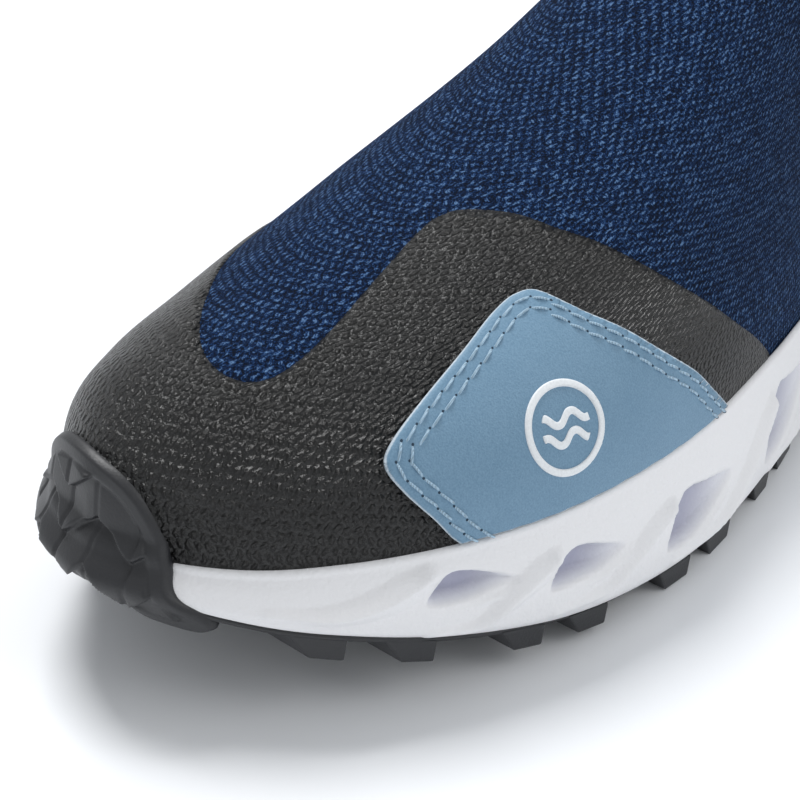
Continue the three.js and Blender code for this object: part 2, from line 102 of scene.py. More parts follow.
centre = curve((0, -10), (12, -8.5), (45, -3.8), (100, 0.3), (150, 3.2), (190, 3.7), (250, 1.6), (300, 0))
half = curve((0, 38), (12, 44), (25, 44.8), (45, 46.9), (70, 51.4), (95, 53), (130, 48.3),
             (160, 42), (190, 38.5), (220, 37.9), (250, 38.5), (300, 38.5))
rim = curve((0, 29.3), (20, 28.7), (40, 28.6), (80, 29.6), (115, 31.6), (140, 31), (170, 28.6),
            (200, 28.8), (240, 32), (275, 37.5), (300, 43))
footbed = curve((0, 29), (20, 24.5), (45, 19.5), (80, 16.5), (110, 16), (160, 19), (220, 25), (300, 27))
ridge = curve((0, 30), (6, 43), (14, 50.5), (28, 55.5), (45, 59), (70, 66), (100, 78), (125, 91.5),
              (150, 108), (175, 124), (200, 131), (230, 122), (262, 100), (285, 78), (300, 50))
leg_y = curve((20, 238), (45, 239), (70, 239), (100, 238), (130, 238), (180, 240))
leg_a = curve((20, 24), (45, 30), (70, 33.5), (100, 34.5), (130, 35), (180, 37))
leg_b = curve((20, 48), (45, 55), (70, 54), (100, 50.5), (130, 49.5), (180, 52))
print("sole", LENGTH, "mm long and", round(2 * float(half(95))), "mm wide at the ball")


def sole_half(y, inset=0.0):
    """Half width of the sole's outline, moved inwards by an inset."""
    toe = round_end(y - inset, TOE_ROUND - 0.75 * inset)
    heel = round_end(LENGTH - inset - y, HEEL_ROUND - 0.75 * inset)
    return (half(y) - inset) * toe * heel


def foot_half(y):
    return np.maximum(0.05, sole_half(y, RIM_INSET))


def spring(y):
    toe = TOE_SPRING * np.clip(1 - y / SPRING_LEN, 0, None) ** 2.2
    heel = HEEL_SPRING * np.clip((y - LENGTH) / HEEL_SPRING_LEN + 1, 0, None) ** 2
    return toe + heel


# %% The outside as a distance-like field
def field(p):
    """Negative inside the boot, zero on its skin."""
    x, y, z = p[..., 0], p[..., 1], p[..., 2]
    hw, base = foot_half(y), rim(y)
    top = np.maximum(ridge(y), base + 0.5)
    q = np.clip((z - base) / (top - base), 0, None)
    narrow = np.clip((y - 90) / 120, 0, 1) * 0.18
    c = np.abs(x - centre(y)) / (hw * (1 - narrow * np.minimum(1, q)))
    foot = ((c ** 2.35 + q ** 2.1) ** (1 / 2.2) - 1) * np.maximum(14, np.minimum(hw, top - base))
    foot = np.maximum(foot, np.maximum(RIM_INSET - y, y - (LENGTH - RIM_INSET)))
    a = leg_a(z)
    leg = (np.hypot((x - BACK_X) / a, (y - leg_y(z)) / leg_b(z)) - 1) * a
    blend = 20 - 15 * np.clip((y - 195) / 50, 0, 1)
    h = np.maximum(blend - np.abs(foot - leg), 0) / blend
    return np.minimum(foot, leg) - h * h * blend / 4


def level_z(s, y):
    return footbed(y) + (COLLAR_TOP + 0.1 * (y - 190) - footbed(y)) * s


def out_to_skin(at, low, high, halvings=30):
    """The points at(reach) that lie on the skin, between an inner and an outer reach."""
    for _ in range(halvings):
        mid = (low + high) / 2
        p = at(mid)
        inside = (field(p) < 0) & (p[..., 1] > 0) & (p[..., 1] < LENGTH)
        low, high = np.where(inside, mid, low), np.where(inside, high, mid)
    return at(low)


def skin(angle, level):
    """Points and normals at an angle round the boot (-90 toe, 90 heel) and a level (0 footbed, 1 collar)."""
    angle, level = np.broadcast_arrays(np.radians(angle), np.asarray(level, float))
    lift = np.clip(level, 1e-4, 1)
    hub, stretch = 150 + 88 * lift ** 0.8, 2.2 - 0.8 * lift

    def at(reach):
        y = hub + reach * (stretch * np.sin(angle))
        return np.stack([reach * np.cos(angle), y, level_z(level, y)], -1)

    p = out_to_skin(at, np.zeros(angle.shape), np.full(angle.shape, 100.0), 26)
    return p, slope_of(p, level)


def slope_of(p, level=0.5):
    step = 0.6 * np.eye(3)
    g = np.stack([field(p + step[i]) - field(p - step[i]) for i in range(3)], -1)
    upright = smooth(-1, 5, p[..., 2] - rim(p[..., 1])) * (1 - smooth(0.96, 0.99, level))
    g[..., 2] *= upright
    return g / np.linalg.norm(g, axis=-1, keepdims=True)


foam_box, loop_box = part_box("midsole"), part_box("pull_loop")
FOAM_END = 299.4
loop_middle = (loop_box[0][0] + loop_box[1][0]) / 2 / MM
SHIFT = np.array([loop_middle - BACK_X, foam_box[1][1] / MM - FOAM_END, 0.0])


def place(p):
    """Millimetres from the toe tip to metres in the frame."""
    return (np.asarray(p) + SHIFT) * MM


print("the frame's origin lies", np.round(-SHIFT, 2), "mm from the toe tip")

# %% [markdown]
# ## Mesh helpers
# The upper is one surface with layers on it: knit, film, patches. We sample that surface once as a
# grid, cut each layer's outline out of it with a signed distance, and give the cut sheet a
# thickness. This keeps every layer exactly parallel to the one below, as pressed layers are.

# %% Grid, clip and thicken
ANGLES, LEVELS = 360, 124
angle_row = np.linspace(-270, 90, ANGLES + 1)
angle_row = angle_row - 8.1 * np.sin(np.radians((angle_row + 90) * 2))
level_col = np.linspace(-0.01, 1, LEVELS)
BODY, NORMAL = skin(angle_row[None, :], level_col[:, None])
across = np.linalg.norm(np.diff(BODY, axis=1), axis=-1)
around = np.concatenate([np.zeros((LEVELS, 1)), np.cumsum(across, axis=1)], axis=1)
around -= around[:, [ANGLES // 2]]
upward = np.concatenate([np.zeros((1, ANGLES + 1)),
                         np.cumsum(np.linalg.norm(np.diff(BODY, axis=0), axis=-1), axis=0)], axis=0)
print("surface grid", BODY.shape[:2], "girth at the footbed", round(float(across[0].sum())), "mm")


def grid_quads(rows, columns):
    i, j = np.meshgrid(np.arange(rows - 1), np.arange(columns - 1), indexing="ij")
    a = (i * columns + j).ravel()
    return np.stack([a, a + 1, a + 1 + columns, a + columns], 1).tolist()


def tube_quads(rows, columns):
    """Quads of a grid that closes on itself both ways."""
    quads = []
    for k in range(rows):
        for j in range(columns):
            near, far, beside = k * columns, (k + 1) % rows * columns, (j + 1) % columns
            quads.append([near + j, near + beside, far + beside, far + j])
    return quads


# Columns of a sheet's data: point 0 to 2, normal 3 to 5, surface coordinates 6 and 7, then these two.
ANGLE, LEVEL = 8, 9


def sheet_of(rows):
    """The body grid between two levels: points, normals, surface coordinates in mm, angle and level."""
    n, m = rows.stop - rows.start, ANGLES + 1
    data = np.concatenate([BODY[rows], NORMAL[rows], around[rows][..., None], upward[rows][..., None],
                           np.broadcast_to(angle_row, (n, m))[..., None],
                           np.broadcast_to(level_col[rows, None], (n, m))[..., None]], -1).reshape(-1, 10)
    return data, grid_quads(n, m)


def clip(sheet, inside):
    """Keeps the part of a sheet where inside(data) is positive, cut along its zero line."""
    data, faces = sheet
    f = inside(data)
    keep, extra, cuts = [], [], {}

    def cut(a, b):
        key = (min(a, b), max(a, b))
        if key not in cuts:
            t = f[a] / (f[a] - f[b])
            cuts[key] = len(data) + len(extra)
            extra.append(data[a] * (1 - t) + data[b] * t)
        return cuts[key]

    good = f > 0
    for face in faces:
        flags = [good[v] for v in face]
        if all(flags):
            keep.append(face)
        elif any(flags):
            out = []
            for k, a in enumerate(face):
                b = face[(k + 1) % len(face)]
                if good[a]:
                    out.append(a)
                if good[a] != good[b]:
                    out.append(cut(a, b))
            if len(out) > 2:
                keep.append(out)
    if extra:
        data = np.concatenate([data, np.array(extra)])
    used = np.unique(np.concatenate([np.asarray(face) for face in keep]))
    back = np.full(len(data), -1)
    back[used] = np.arange(len(used))
    return data[used], [[int(back[v]) for v in face] for face in keep]


def mesh_object(name, points, faces, uv=None, zones=None, fields=None):
    """A mesh from points in form mm; zones are its faces' materials and fields its named point values."""
    mesh = bpy.data.meshes.new(name)
    mesh.from_pydata(place(points).tolist(), [], faces)
    for label, values in (fields or {}).items():
        layer = mesh.attributes.new(label, "FLOAT", "POINT")
        layer.data.foreach_set("value", np.asarray(values, np.float32).ravel())
    if uv is not None:
        corner = np.concatenate([np.asarray(face) for face in faces])
        layer = mesh.uv_layers.new(name="surface")
        layer.data.foreach_set("uv", np.asarray(uv)[corner].astype(np.float32).ravel())
    if zones is not None:
        mesh.polygons.foreach_set("material_index", np.asarray(zones, np.int32))
    mesh.polygons.foreach_set("use_smooth", [True] * len(mesh.polygons))
    mesh.update()
    obj = bpy.data.objects.new(name, mesh)
    bpy.context.scene.collection.objects.link(obj)
    return obj


def weld(obj, distance=2e-6):
    bm = bmesh.new()
    bm.from_mesh(obj.data)
    bmesh.ops.remove_doubles(bm, verts=bm.verts, dist=distance)
    bm.to_mesh(obj.data)
    bm.free()


def point_out(obj):
    """Faces of a closed shell turned outwards."""
    bm = bmesh.new()
    bm.from_mesh(obj.data)
    bmesh.ops.recalc_face_normals(bm, faces=bm.faces)
    bm.to_mesh(obj.data)
    bm.free()


def thicken(name, sheet, outer, inner, zones=(0, 0, 0), fields=None):
    """A sheet with a wall: outer and inner are offsets in mm, one number or one for each point."""
    data, faces = sheet
    n = len(data)
    top = data[:, :3] + data[:, 3:6] * np.broadcast_to(outer, n)[:, None]
    low = data[:, :3] + data[:, 3:6] * np.broadcast_to(inner, n)[:, None]
    count = {}
    for face in faces:
        for k, a in enumerate(face):
            b = face[(k + 1) % len(face)]
            count[(a, b)] = count.get((a, b), 0) + 1
    back_seam = np.abs(np.abs(data[:, ANGLE] + 90) - 180) < 1e-6
    sides = [[b, a, a + n, b + n] for (a, b) in count
             if (b, a) not in count and not (back_seam[a] and back_seam[b])]
    everything = faces + [[v + n for v in reversed(face)] for face in faces] + sides
    kinds = [zones[0]] * len(faces) + [zones[1]] * len(faces) + [zones[2]] * len(sides)
    both = {label: np.tile(values, 2) for label, values in (fields or {}).items()}
    uv = np.tile(data[:, 6:8], (2, 1))
    obj = mesh_object(name, np.concatenate([top, low]), everything, uv, kinds, both)
    weld(obj)
    print(name, len(obj.data.polygons), "faces")
    return obj


# %% Outlines on the surface
def spline(points, closed, n):
    """A smooth path through a few points, n samples."""
    p = np.array(points, float)
    before, after = (p[-2:], p[:3]) if closed else (2 * p[:1] - p[1:2], 2 * p[-1:] - p[-2:-1])
    p = np.concatenate([before, p, after])
    first, spans = (2, len(points)) if closed else (1, len(points) - 1)
    t = np.linspace(0, spans, n, endpoint=not closed)
    i = np.minimum(t.astype(int), spans - 1)
    u = (t - i)[:, None]
    a, b, c, d = (p[first + i + k] for k in (-1, 0, 1, 2))
    square = (2 * a - 5 * b + 4 * c - d) * u ** 2
    cube = (3 * b - a - 3 * c + d) * u ** 3
    return 0.5 * (2 * b + (c - a) * u + square + cube)


def signed_distance(data, outline):
    """Distance in mm to an (angle, level) outline, positive inside it."""
    t, s = data[:, ANGLE], data[:, LEVEL]
    inside = np.zeros(len(data), bool)
    a, b = outline, np.roll(outline, -1, axis=0)
    for (ta, sa), (tb, sb) in zip(a, b):
        if sa != sb:
            crosses = (sa > s) != (sb > s)
            inside ^= crosses & (t < (tb - ta) * (s - sa) / (sb - sa) + ta)
    q, _ = skin(outline[:, 0], outline[:, 1])
    near = np.full(len(data), 1e9)
    for p0, p1 in zip(q, np.roll(q, -1, axis=0)):
        edge = p1 - p0
        along = np.clip((data[:, :3] - p0) @ edge / max(edge @ edge, 1e-9), 0, 1)
        near = np.minimum(near, np.linalg.norm(data[:, :3] - p0 - along[:, None] * edge, axis=1))
    return np.where(inside, near, -near)


def rolled_edge(f, full, edge, radius):
    """Thickness that rounds down from full to edge within radius of an outline."""
    t = np.clip(f / radius, 0, 1)
    return edge + (full - edge) * np.sqrt(1 - (1 - t) ** 2)


def rows_between(low, high):
    return slice(int(np.searchsorted(level_col, low)), int(np.searchsorted(level_col, high)) + 1)

# %% [markdown]
# ## Materials
# Each finish starts from the real stuff. One function adds a node with its settings and links, so a
# tree reads from top to bottom like a recipe. Colours are sRGB hex, turned to linear once.

# %% Node helpers
def colour(text):
    values = [int(text[i:i + 2], 16) / 255 for i in (1, 3, 5)]
    return (*[v / 12.92 if v <= 0.04045 else ((v + 0.055) / 1.055) ** 2.4 for v in values], 1)


def add(tree, kind, values=(), stops=(), **settings):
    """Adds a node. Its inputs, in order or by name, are numbers, colours, sockets or other nodes."""
    kind, _, operation = kind.partition(":")
    node = tree.nodes.new(kind)
    if operation:
        node.operation = operation
    for key, value in settings.items():
        setattr(node, key, value)
    for k, (position, tone) in enumerate(stops):
        element = node.color_ramp.elements[k] if k < 2 else node.color_ramp.elements.new(position)
        element.position = position
        element.color = colour(tone)
    for key, value in (values.items() if isinstance(values, dict) else enumerate(values)):
        named = [socket for socket in node.inputs if socket.name == key and socket.enabled]
        socket = named[0] if named else node.inputs[key]
        if isinstance(value, bpy.types.Node):
            value = next(output for output in value.outputs if output.enabled)
        if isinstance(value, bpy.types.NodeSocket):
            tree.links.new(value, socket)
        else:
            socket.default_value = value
    return node


def finish(name):
    """A new material and its empty tree."""
    material = bpy.data.materials.new(name)
    material.use_nodes = True
    material.node_tree.nodes.clear()
    return material, material.node_tree


# %% [markdown]
# ### The knit's loops
# The knit is a lattice of slanted loops, about 1.9 mm apart, each row shifted by half a loop and
# leaning the other way. We draw it on the surface coordinates in millimetres. A group gives the
# loop's height, the fine yarn lines and a number for each loop. The film over the knit uses the same
# group, so that it shows the same relief, softened.

# %% Loop lattice
def loop_lattice():
    tree = bpy.data.node_groups.new("loop lattice", "ShaderNodeTree")
    pitch_socket = tree.interface.new_socket("Pitch mm", in_out="INPUT", socket_type="NodeSocketFloat")
    pitch_socket.default_value = 1.9
    for label in ("Height", "Yarn", "Loop"):
        tree.interface.new_socket(label, in_out="OUTPUT", socket_type="NodeSocketFloat")
    pitch = add(tree, "NodeGroupInput").outputs[0]
    surface = add(tree, "ShaderNodeUVMap", uv_map="surface")
    moved = surface
    for scale, reach in ((0.45, 1.7), (1.6, 0.75)):
        sway = add(tree, "ShaderNodeTexNoise", {"Vector": surface, "Scale": scale, "Detail": 2.0})
        sway = add(tree, "ShaderNodeVectorMath:SUBTRACT", [sway.outputs["Color"], (0.5, 0.5, 0.5)])
        sway = add(tree, "ShaderNodeVectorMath:SCALE", {"Vector": sway, "Scale": reach})
        moved = add(tree, "ShaderNodeVectorMath:ADD", [moved, sway])
    place_on_cloth = add(tree, "ShaderNodeSeparateXYZ", [moved])
    wale = add(tree, "ShaderNodeMath:MULTIPLY", [pitch, 0.84])
    course = add(tree, "ShaderNodeMath:MULTIPLY", [pitch, 1.05])
    a = add(tree, "ShaderNodeMath:DIVIDE", [place_on_cloth.outputs[0], wale])
    b = add(tree, "ShaderNodeMath:DIVIDE", [place_on_cloth.outputs[1], course])
    row = add(tree, "ShaderNodeMath:FLOOR", [b])
    a = add(tree, "ShaderNodeMath:MULTIPLY_ADD", [row, 0.5, a])
    across_loop = add(tree, "ShaderNodeMath:SUBTRACT", [add(tree, "ShaderNodeMath:FRACT", [a]), 0.5])
    up_loop = add(tree, "ShaderNodeMath:SUBTRACT", [add(tree, "ShaderNodeMath:FRACT", [b]), 0.5])
    odd_row = add(tree, "ShaderNodeMath:FLOORED_MODULO", [row, 2.0])
    lean = add(tree, "ShaderNodeMath:MULTIPLY_ADD", [odd_row, -1.6, 0.8])
    up_loop = add(tree, "ShaderNodeMath:MULTIPLY", [up_loop, lean])
    long_way = add(tree, "ShaderNodeMath:ADD", [across_loop, up_loop])
    short_way = add(tree, "ShaderNodeMath:SUBTRACT", [across_loop, up_loop])
    reach = add(tree, "ShaderNodeCombineXYZ", [add(tree, "ShaderNodeMath:MULTIPLY", [long_way, 0.86]),
                                               add(tree, "ShaderNodeMath:MULTIPLY", [short_way, 1.25])])
    reach = add(tree, "ShaderNodeVectorMath:LENGTH", [reach]).outputs["Value"]
    height = add(tree, "ShaderNodeMapRange", {0: reach, 1: 0.62, 2: 0.12}, interpolation_type="SMOOTHSTEP")
    phase = add(tree, "ShaderNodeMath:MULTIPLY", [short_way, 19.0])
    phase = add(tree, "ShaderNodeMath:MULTIPLY_ADD", [long_way, 4.0, phase])
    yarn = add(tree, "ShaderNodeMath:MULTIPLY_ADD", [add(tree, "ShaderNodeMath:SINE", [phase]), 0.5, 0.5])
    cell = add(tree, "ShaderNodeCombineXYZ", [add(tree, "ShaderNodeMath:FLOOR", [a]), row, 0.0])
    loop = add(tree, "ShaderNodeTexWhiteNoise", {"Vector": cell}, noise_dimensions="2D")
    add(tree, "NodeGroupOutput", [height, yarn, loop])
    return tree


LATTICE = loop_lattice()
print("loop lattice", len(LATTICE.nodes), "nodes")


# %% Knit and film
def knit_face():
    """Polyester knit in two navy yarns: mid-blue loops and a few lighter filaments; the dark gaps between
    loops are partly the yarn and partly painted shade.
    """
    material, tree = finish("polyester loop knit")
    spot = add(tree, "ShaderNodeTexCoord").outputs["Object"]
    loops = add(tree, "ShaderNodeGroup", [1.9], node_tree=LATTICE).outputs
    fibre = {"Vector": spot, "Scale": 1 / (0.42 * MM), "Detail": 3.0, "Roughness": 0.6}
    fibre = add(tree, "ShaderNodeMath:SUBTRACT", [add(tree, "ShaderNodeTexNoise", fibre), 0.5])
    strands = add(tree, "ShaderNodeMath:MULTIPLY", [loops["Height"], 0.6])
    strands = add(tree, "ShaderNodeMath:MULTIPLY_ADD", [loops["Yarn"], 0.42, strands])
    level = add(tree, "ShaderNodeMath:MULTIPLY_ADD", [fibre, 2.5, strands])
    odd_loop = add(tree, "ShaderNodeMath:SUBTRACT", [loops["Loop"], 0.5])
    tone = add(tree, "ShaderNodeMath:MULTIPLY_ADD", [odd_loop, 0.25, level])
    # The tone follows the loops' height, so the low gaps between loops take the dark stops: painted shade of
    # the loop relief over the yarns' own navy tones.
    shade = add(tree, "ShaderNodeValToRGB", [tone],
                stops=[(0.05, "#051327"), (0.38, "#102b55"), (0.7, "#284e84"), (1.0, "#7096c6")])
    relief = add(tree, "ShaderNodeBump", {"Height": level, "Distance": 0.6 * MM})
    surface = {"Base Color": shade, "Normal": relief, "Roughness": 0.9, "Specular IOR Level": 0.12}
    add(tree, "ShaderNodeOutputMaterial", [add(tree, "ShaderNodeBsdfPrincipled", surface)])
    return material


def pressed_film():
    """Thin TPU film pressed on the knit: the loops show through, softened, under a satin skin."""
    material, tree = finish("pressed TPU film")
    spot = add(tree, "ShaderNodeTexCoord").outputs["Object"]
    loops = add(tree, "ShaderNodeGroup", [1.9], node_tree=LATTICE).outputs
    crease = add(tree, "ShaderNodeTexNoise", {"Vector": spot, "Scale": 1 / (1.2 * MM), "Detail": 3.0})
    crease = add(tree, "ShaderNodeMath:SUBTRACT", [crease, 0.5])
    soft = add(tree, "ShaderNodeMath:MULTIPLY_ADD", [crease, 1.5, loops["Height"]])
    shade = add(tree, "ShaderNodeValToRGB", [soft], stops=[(0.0, "#070707"), (1.0, "#141312")])
    relief = add(tree, "ShaderNodeBump", {"Height": soft, "Distance": 0.7 * MM})
    surface = {"Base Color": shade, "Normal": relief, "Roughness": 0.35, "Specular IOR Level": 0.5}
    add(tree, "ShaderNodeOutputMaterial", [add(tree, "ShaderNodeBsdfPrincipled", surface)])
    return material


# %% Patch leather and its edge
def soft_leather():
    """Coated microfibre leather: light blue, fine pores, slightly mottled, paler where it was cut."""
    material, tree = finish("blue microfibre leather")
    spot = add(tree, "ShaderNodeTexCoord").outputs["Object"]
    pores = add(tree, "ShaderNodeTexNoise", {"Vector": spot, "Scale": 1 / (0.32 * MM), "Detail": 2.0})
    mottle = add(tree, "ShaderNodeTexNoise", {"Vector": spot, "Scale": 1 / (9 * MM), "Detail": 2.0})
    mottle = add(tree, "ShaderNodeMath:SUBTRACT", [mottle, 0.5])
    tone = add(tree, "ShaderNodeMath:MULTIPLY_ADD", [mottle, 0.25, pores])
    coat = add(tree, "ShaderNodeValToRGB", [tone], stops=[(0.25, "#6487a1"), (0.75, "#7899b2")])
    edge = add(tree, "ShaderNodeAttribute", attribute_name="edge").outputs["Fac"]
    ragged = add(tree, "ShaderNodeMath:SUBTRACT", [pores, 0.5])
    ragged = add(tree, "ShaderNodeMath:MULTIPLY_ADD", [ragged, 0.35, edge])
    sound = add(tree, "ShaderNodeMapRange", {0: ragged, 1: 0.12, 2: 0.34})
    shade = add(tree, "ShaderNodeMix", {"Factor": sound, "A": colour("#c3d0da"), "B": coat}, data_type="RGBA")
    relief = add(tree, "ShaderNodeBump", {"Height": pores, "Distance": 0.09 * MM})
    surface = {"Base Color": shade, "Normal": relief, "Roughness": 0.52, "Specular IOR Level": 0.4}
    add(tree, "ShaderNodeOutputMaterial", [add(tree, "ShaderNodeBsdfPrincipled", surface)])
    return material


def cut_edge():
    """The raw edge of the same leather, where its pale fibre backing shows."""
    material, tree = finish("pale cut edge")
    spot = add(tree, "ShaderNodeTexCoord").outputs["Object"]
    fuzz = add(tree, "ShaderNodeTexNoise", {"Vector": spot, "Scale": 1 / (0.3 * MM), "Detail": 3.0})
    shade = add(tree, "ShaderNodeValToRGB", [fuzz], stops=[(0.3, "#93a9b9"), (0.7, "#dbe3e9")])
    relief = add(tree, "ShaderNodeBump", {"Height": fuzz, "Distance": 0.25 * MM})
    surface = {"Base Color": shade, "Normal": relief, "Roughness": 0.9}
    add(tree, "ShaderNodeOutputMaterial", [add(tree, "ShaderNodeBsdfPrincipled", surface)])
    return material


# %% Jersey, and a finish for moulded and printed pieces
def jersey(name, dark, light, pitch_mm=0.7):
    """Fine jersey laminated on neoprene: small even loops and a faint sheen."""
    material, tree = finish(name)
    spot = add(tree, "ShaderNodeTexCoord").outputs["Object"]
    loops = add(tree, "ShaderNodeGroup", [pitch_mm], node_tree=LATTICE).outputs
    fibre = add(tree, "ShaderNodeTexNoise", {"Vector": spot, "Scale": 1 / (0.5 * MM), "Detail": 2.0})
    fibre = add(tree, "ShaderNodeMath:SUBTRACT", [fibre, 0.5])
    tone = add(tree, "ShaderNodeMath:MULTIPLY_ADD", [fibre, 0.6, loops["Height"]])
    shade = add(tree, "ShaderNodeValToRGB", [tone], stops=[(0.0, dark), (1.0, light)])
    relief = add(tree, "ShaderNodeBump", {"Height": tone, "Distance": 0.12 * MM})
    surface = {"Base Color": shade, "Normal": relief, "Roughness": 0.85, "Specular IOR Level": 0.15,
               "Sheen Weight": 0.04}
    add(tree, "ShaderNodeOutputMaterial", [add(tree, "ShaderNodeBsdfPrincipled", surface)])
    return material


def plain(name, dark, light, roughness, grain_mm, depth_mm, specular=0.5):
    """A moulded or printed finish: nearly one colour, with a fine grain that breaks up the light."""
    material, tree = finish(name)
    spot = add(tree, "ShaderNodeTexCoord").outputs["Object"]
    grain = add(tree, "ShaderNodeTexNoise", {"Vector": spot, "Scale": 1 / (grain_mm * MM), "Detail": 3.0})
    shade = add(tree, "ShaderNodeValToRGB", [grain], stops=[(0.25, dark), (0.75, light)])
    relief = add(tree, "ShaderNodeBump", {"Height": grain, "Distance": depth_mm * MM})
    surface = {"Base Color": shade, "Normal": relief, "Roughness": roughness, "Specular IOR Level": specular}
    add(tree, "ShaderNodeOutputMaterial", [add(tree, "ShaderNodeBsdfPrincipled", surface)])
    return material


KNIT, FILM, LEATHER, EDGE = knit_face(), pressed_film(), soft_leather(), cut_edge()
LINING = jersey("grey lining jersey", "#23272e", "#454b55")
NEOPRENE = jersey("navy smooth jersey", "#0b1a33", "#1d3559", 0.8)
TRIM = jersey("dark elastic binding", "#15181d", "#2c3138", 0.6)
print("materials", len(bpy.data.materials))

# %% [markdown]
# ## The knit upper
# Vamp and rear quarter are one laminate, joined at a side seam that leans back under a tape. We cut
# the body sheet at the seam and give both pieces the wall of the neoprene, with a lining inside.

# %% Vamp and rear quarter
KNIT_OUT, KNIT_IN = -0.55, -1.1 - WALL


def dress(obj, body, slot_name, *materials, replaces=()):
    """Gives a piece its materials, the body it rides on and the model nodes it stands for."""
    for material in materials:
        obj.data.materials.append(material)
    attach(obj, body)
    if replaces:
        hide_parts(*replaces)
    return obj


def seam_side(data):
    return data[:, 1] - (SEAM_Y + data[:, 2] * SEAM_LEAN)


upper = sheet_of(rows_between(0.0, 0.808))
vamp = thicken("knit_vamp", clip(upper, lambda d: -seam_side(d) - 0.2), KNIT_OUT, KNIT_IN, (0, 1, 1))
dress(vamp, "boot", "knit", KNIT, LINING, replaces=["vamp"])
quarter = thicken("knit_quarter", clip(upper, lambda d: seam_side(d) - 0.2), KNIT_OUT, KNIT_IN, (0, 1, 1))
dress(quarter, "boot", "knit", KNIT, LINING, replaces=["rear_quarter"])

# %% [markdown]
# ## Film and patches
# The film's edge dips over the toes and climbs in a wing on each side. Its outline is a smooth path
# through a few (angle, level) pairs. The patches are cut the same way, thicker, with a pale edge.

# %% Toe film
KNIT_EDGE = [
    (-10, 0.03), (-22, 0.125), (-33, 0.209), (-42.6, 0.28), (-52, 0.335), (-60.4, 0.37), (-68.5, 0.389),
    (-75, 0.399), (-81.5, 0.399), (-85.6, 0.392), (-86.8, 0.376), (-85.8, 0.345), (-84.3, 0.305),
    (-84.2, 0.277), (-86.6, 0.261), (-93.5, 0.269), (-102, 0.289), (-112, 0.295), (-126, 0.288),
    (-140, 0.258), (-152, 0.205), (-163, 0.13), (-172, 0.03)]


def film_piece(name, top_level, gap, node):
    """Film from the foam up to where gap is zero, with its edge pressed down."""
    cut = clip(sheet_of(rows_between(-0.01, top_level)), gap)
    obj = thicken(name, cut, rolled_edge(gap(cut[0]), 0.0, -0.5, 0.7), KNIT_OUT)
    dress(obj, "boot", "film", FILM, replaces=[node])


film_path = np.concatenate([spline(KNIT_EDGE, False, 150), [[-172, -0.2], [-10, -0.2]]])
film_piece("toe_overlay", 0.5, lambda d: signed_distance(d, film_path), "toe_film")

# %% Heel film, the same stuff round the heel
heel_edge = curve((180, 24), (212, 26), (224, 34), (240, 46), (256, 62), (272, 80), (290, 92), (310, 96))
heel_gap = lambda d: np.minimum(heel_edge(d[:, 1]) - d[:, 2], (d[:, 1] - 205) * 0.6)
film_piece("heel_overlay", 0.62, heel_gap, "heel_film")

# %% Side patches
PATCH_EDGE = [
    (-50, 0.03), (-57, 0.07), (-61.4, 0.113), (-65.6, 0.151), (-68.4, 0.18), (-69.3, 0.205), (-69.2, 0.246),
    (-68.6, 0.29), (-68.3, 0.32), (-67.2, 0.334), (-64.6, 0.334), (-58.8, 0.313), (-51.2, 0.278),
    (-41.6, 0.215), (-35.3, 0.16), (-29.5, 0.106), (-25.5, 0.06), (-32, 0.02)]
PATCH_TOP, PATCH_LOW = 1.35, 0.05


def finer(sheet):
    """Each quad of a sheet split in four, so that a small piece has a smooth outline."""
    data, faces = sheet
    extra, seen, out = [], {}, []

    def middle(*ids):
        key = tuple(sorted(ids))
        if key not in seen:
            seen[key] = len(data) + len(extra)
            extra.append(data[list(ids)].mean(axis=0))
        return seen[key]

    for face in faces:
        if len(face) != 4:
            out.append(face)
            continue
        mids = [middle(face[k], face[(k + 1) % 4]) for k in range(4)]
        hub = middle(*face)
        out += [[face[k], mids[k], hub, mids[k - 1]] for k in range(4)]
    return np.concatenate([data, np.array(extra)]), out


def fine_cut(sheet, gap, margin):
    """A sheet cut along gap's zero line, with its quads split in four first for a smooth edge."""
    return clip(finer(clip(sheet, lambda d: gap(d) + margin)), gap)


def patch_piece(name, outline, node):
    path = spline(outline, True, 160)
    gap = lambda d: np.minimum(signed_distance(d, path), d[:, 2] - rim(d[:, 1]) - 0.6)
    low, high = path[:, 1].min() - 0.02, path[:, 1].max() + 0.02
    data, faces = sheet_of(rows_between(low, high))
    t0, t1 = path[:, 0].min() - 4, path[:, 0].max() + 4
    faces = [face for face in faces if t0 < data[face[0], ANGLE] < t1]
    cut = finer(clip((data, faces), lambda d: signed_distance(d, path) + 1.5))
    cut = clip(cut, gap)
    f = gap(cut[0])
    face = rolled_edge(f, PATCH_TOP, PATCH_TOP - 0.45, 0.5)
    obj = thicken(name, cut, face, PATCH_LOW, (0, 0, 1), {"edge": f})
    dress(obj, "boot", "leather", LEATHER, EDGE, replaces=[node])
    return path


outer_path = patch_piece("patch_outer_side", PATCH_EDGE, "patch_lateral")
inner_edge = [(-192 - t * 0.86, 0.028 + (s - 0.03) * 0.6) for t, s in PATCH_EDGE]
inner_path = patch_piece("patch_inner_side", inner_edge, "patch_medial")

# %% [markdown]
# ## The mark on the patch
# The boot carries a printed mark. Ours is a plain sign for water: a ring with two waves in it. It is
# a thin raised print, so we cut it from a fine piece of the patch's surface.

# %% Raised mark
MARK_AT, MARK_RADIUS, MARK_LINE = (-53.5, 0.2), 7.8, 0.62


def facing(angle, level):
    """A point of the skin with its outward, sideways and upward directions."""
    p, n = skin(np.array([angle]), np.array([level]))
    side = np.cross([0, 0, 1], n[0])
    side /= np.linalg.norm(side)
    return p[0], n[0], side, np.cross(n[0], side)


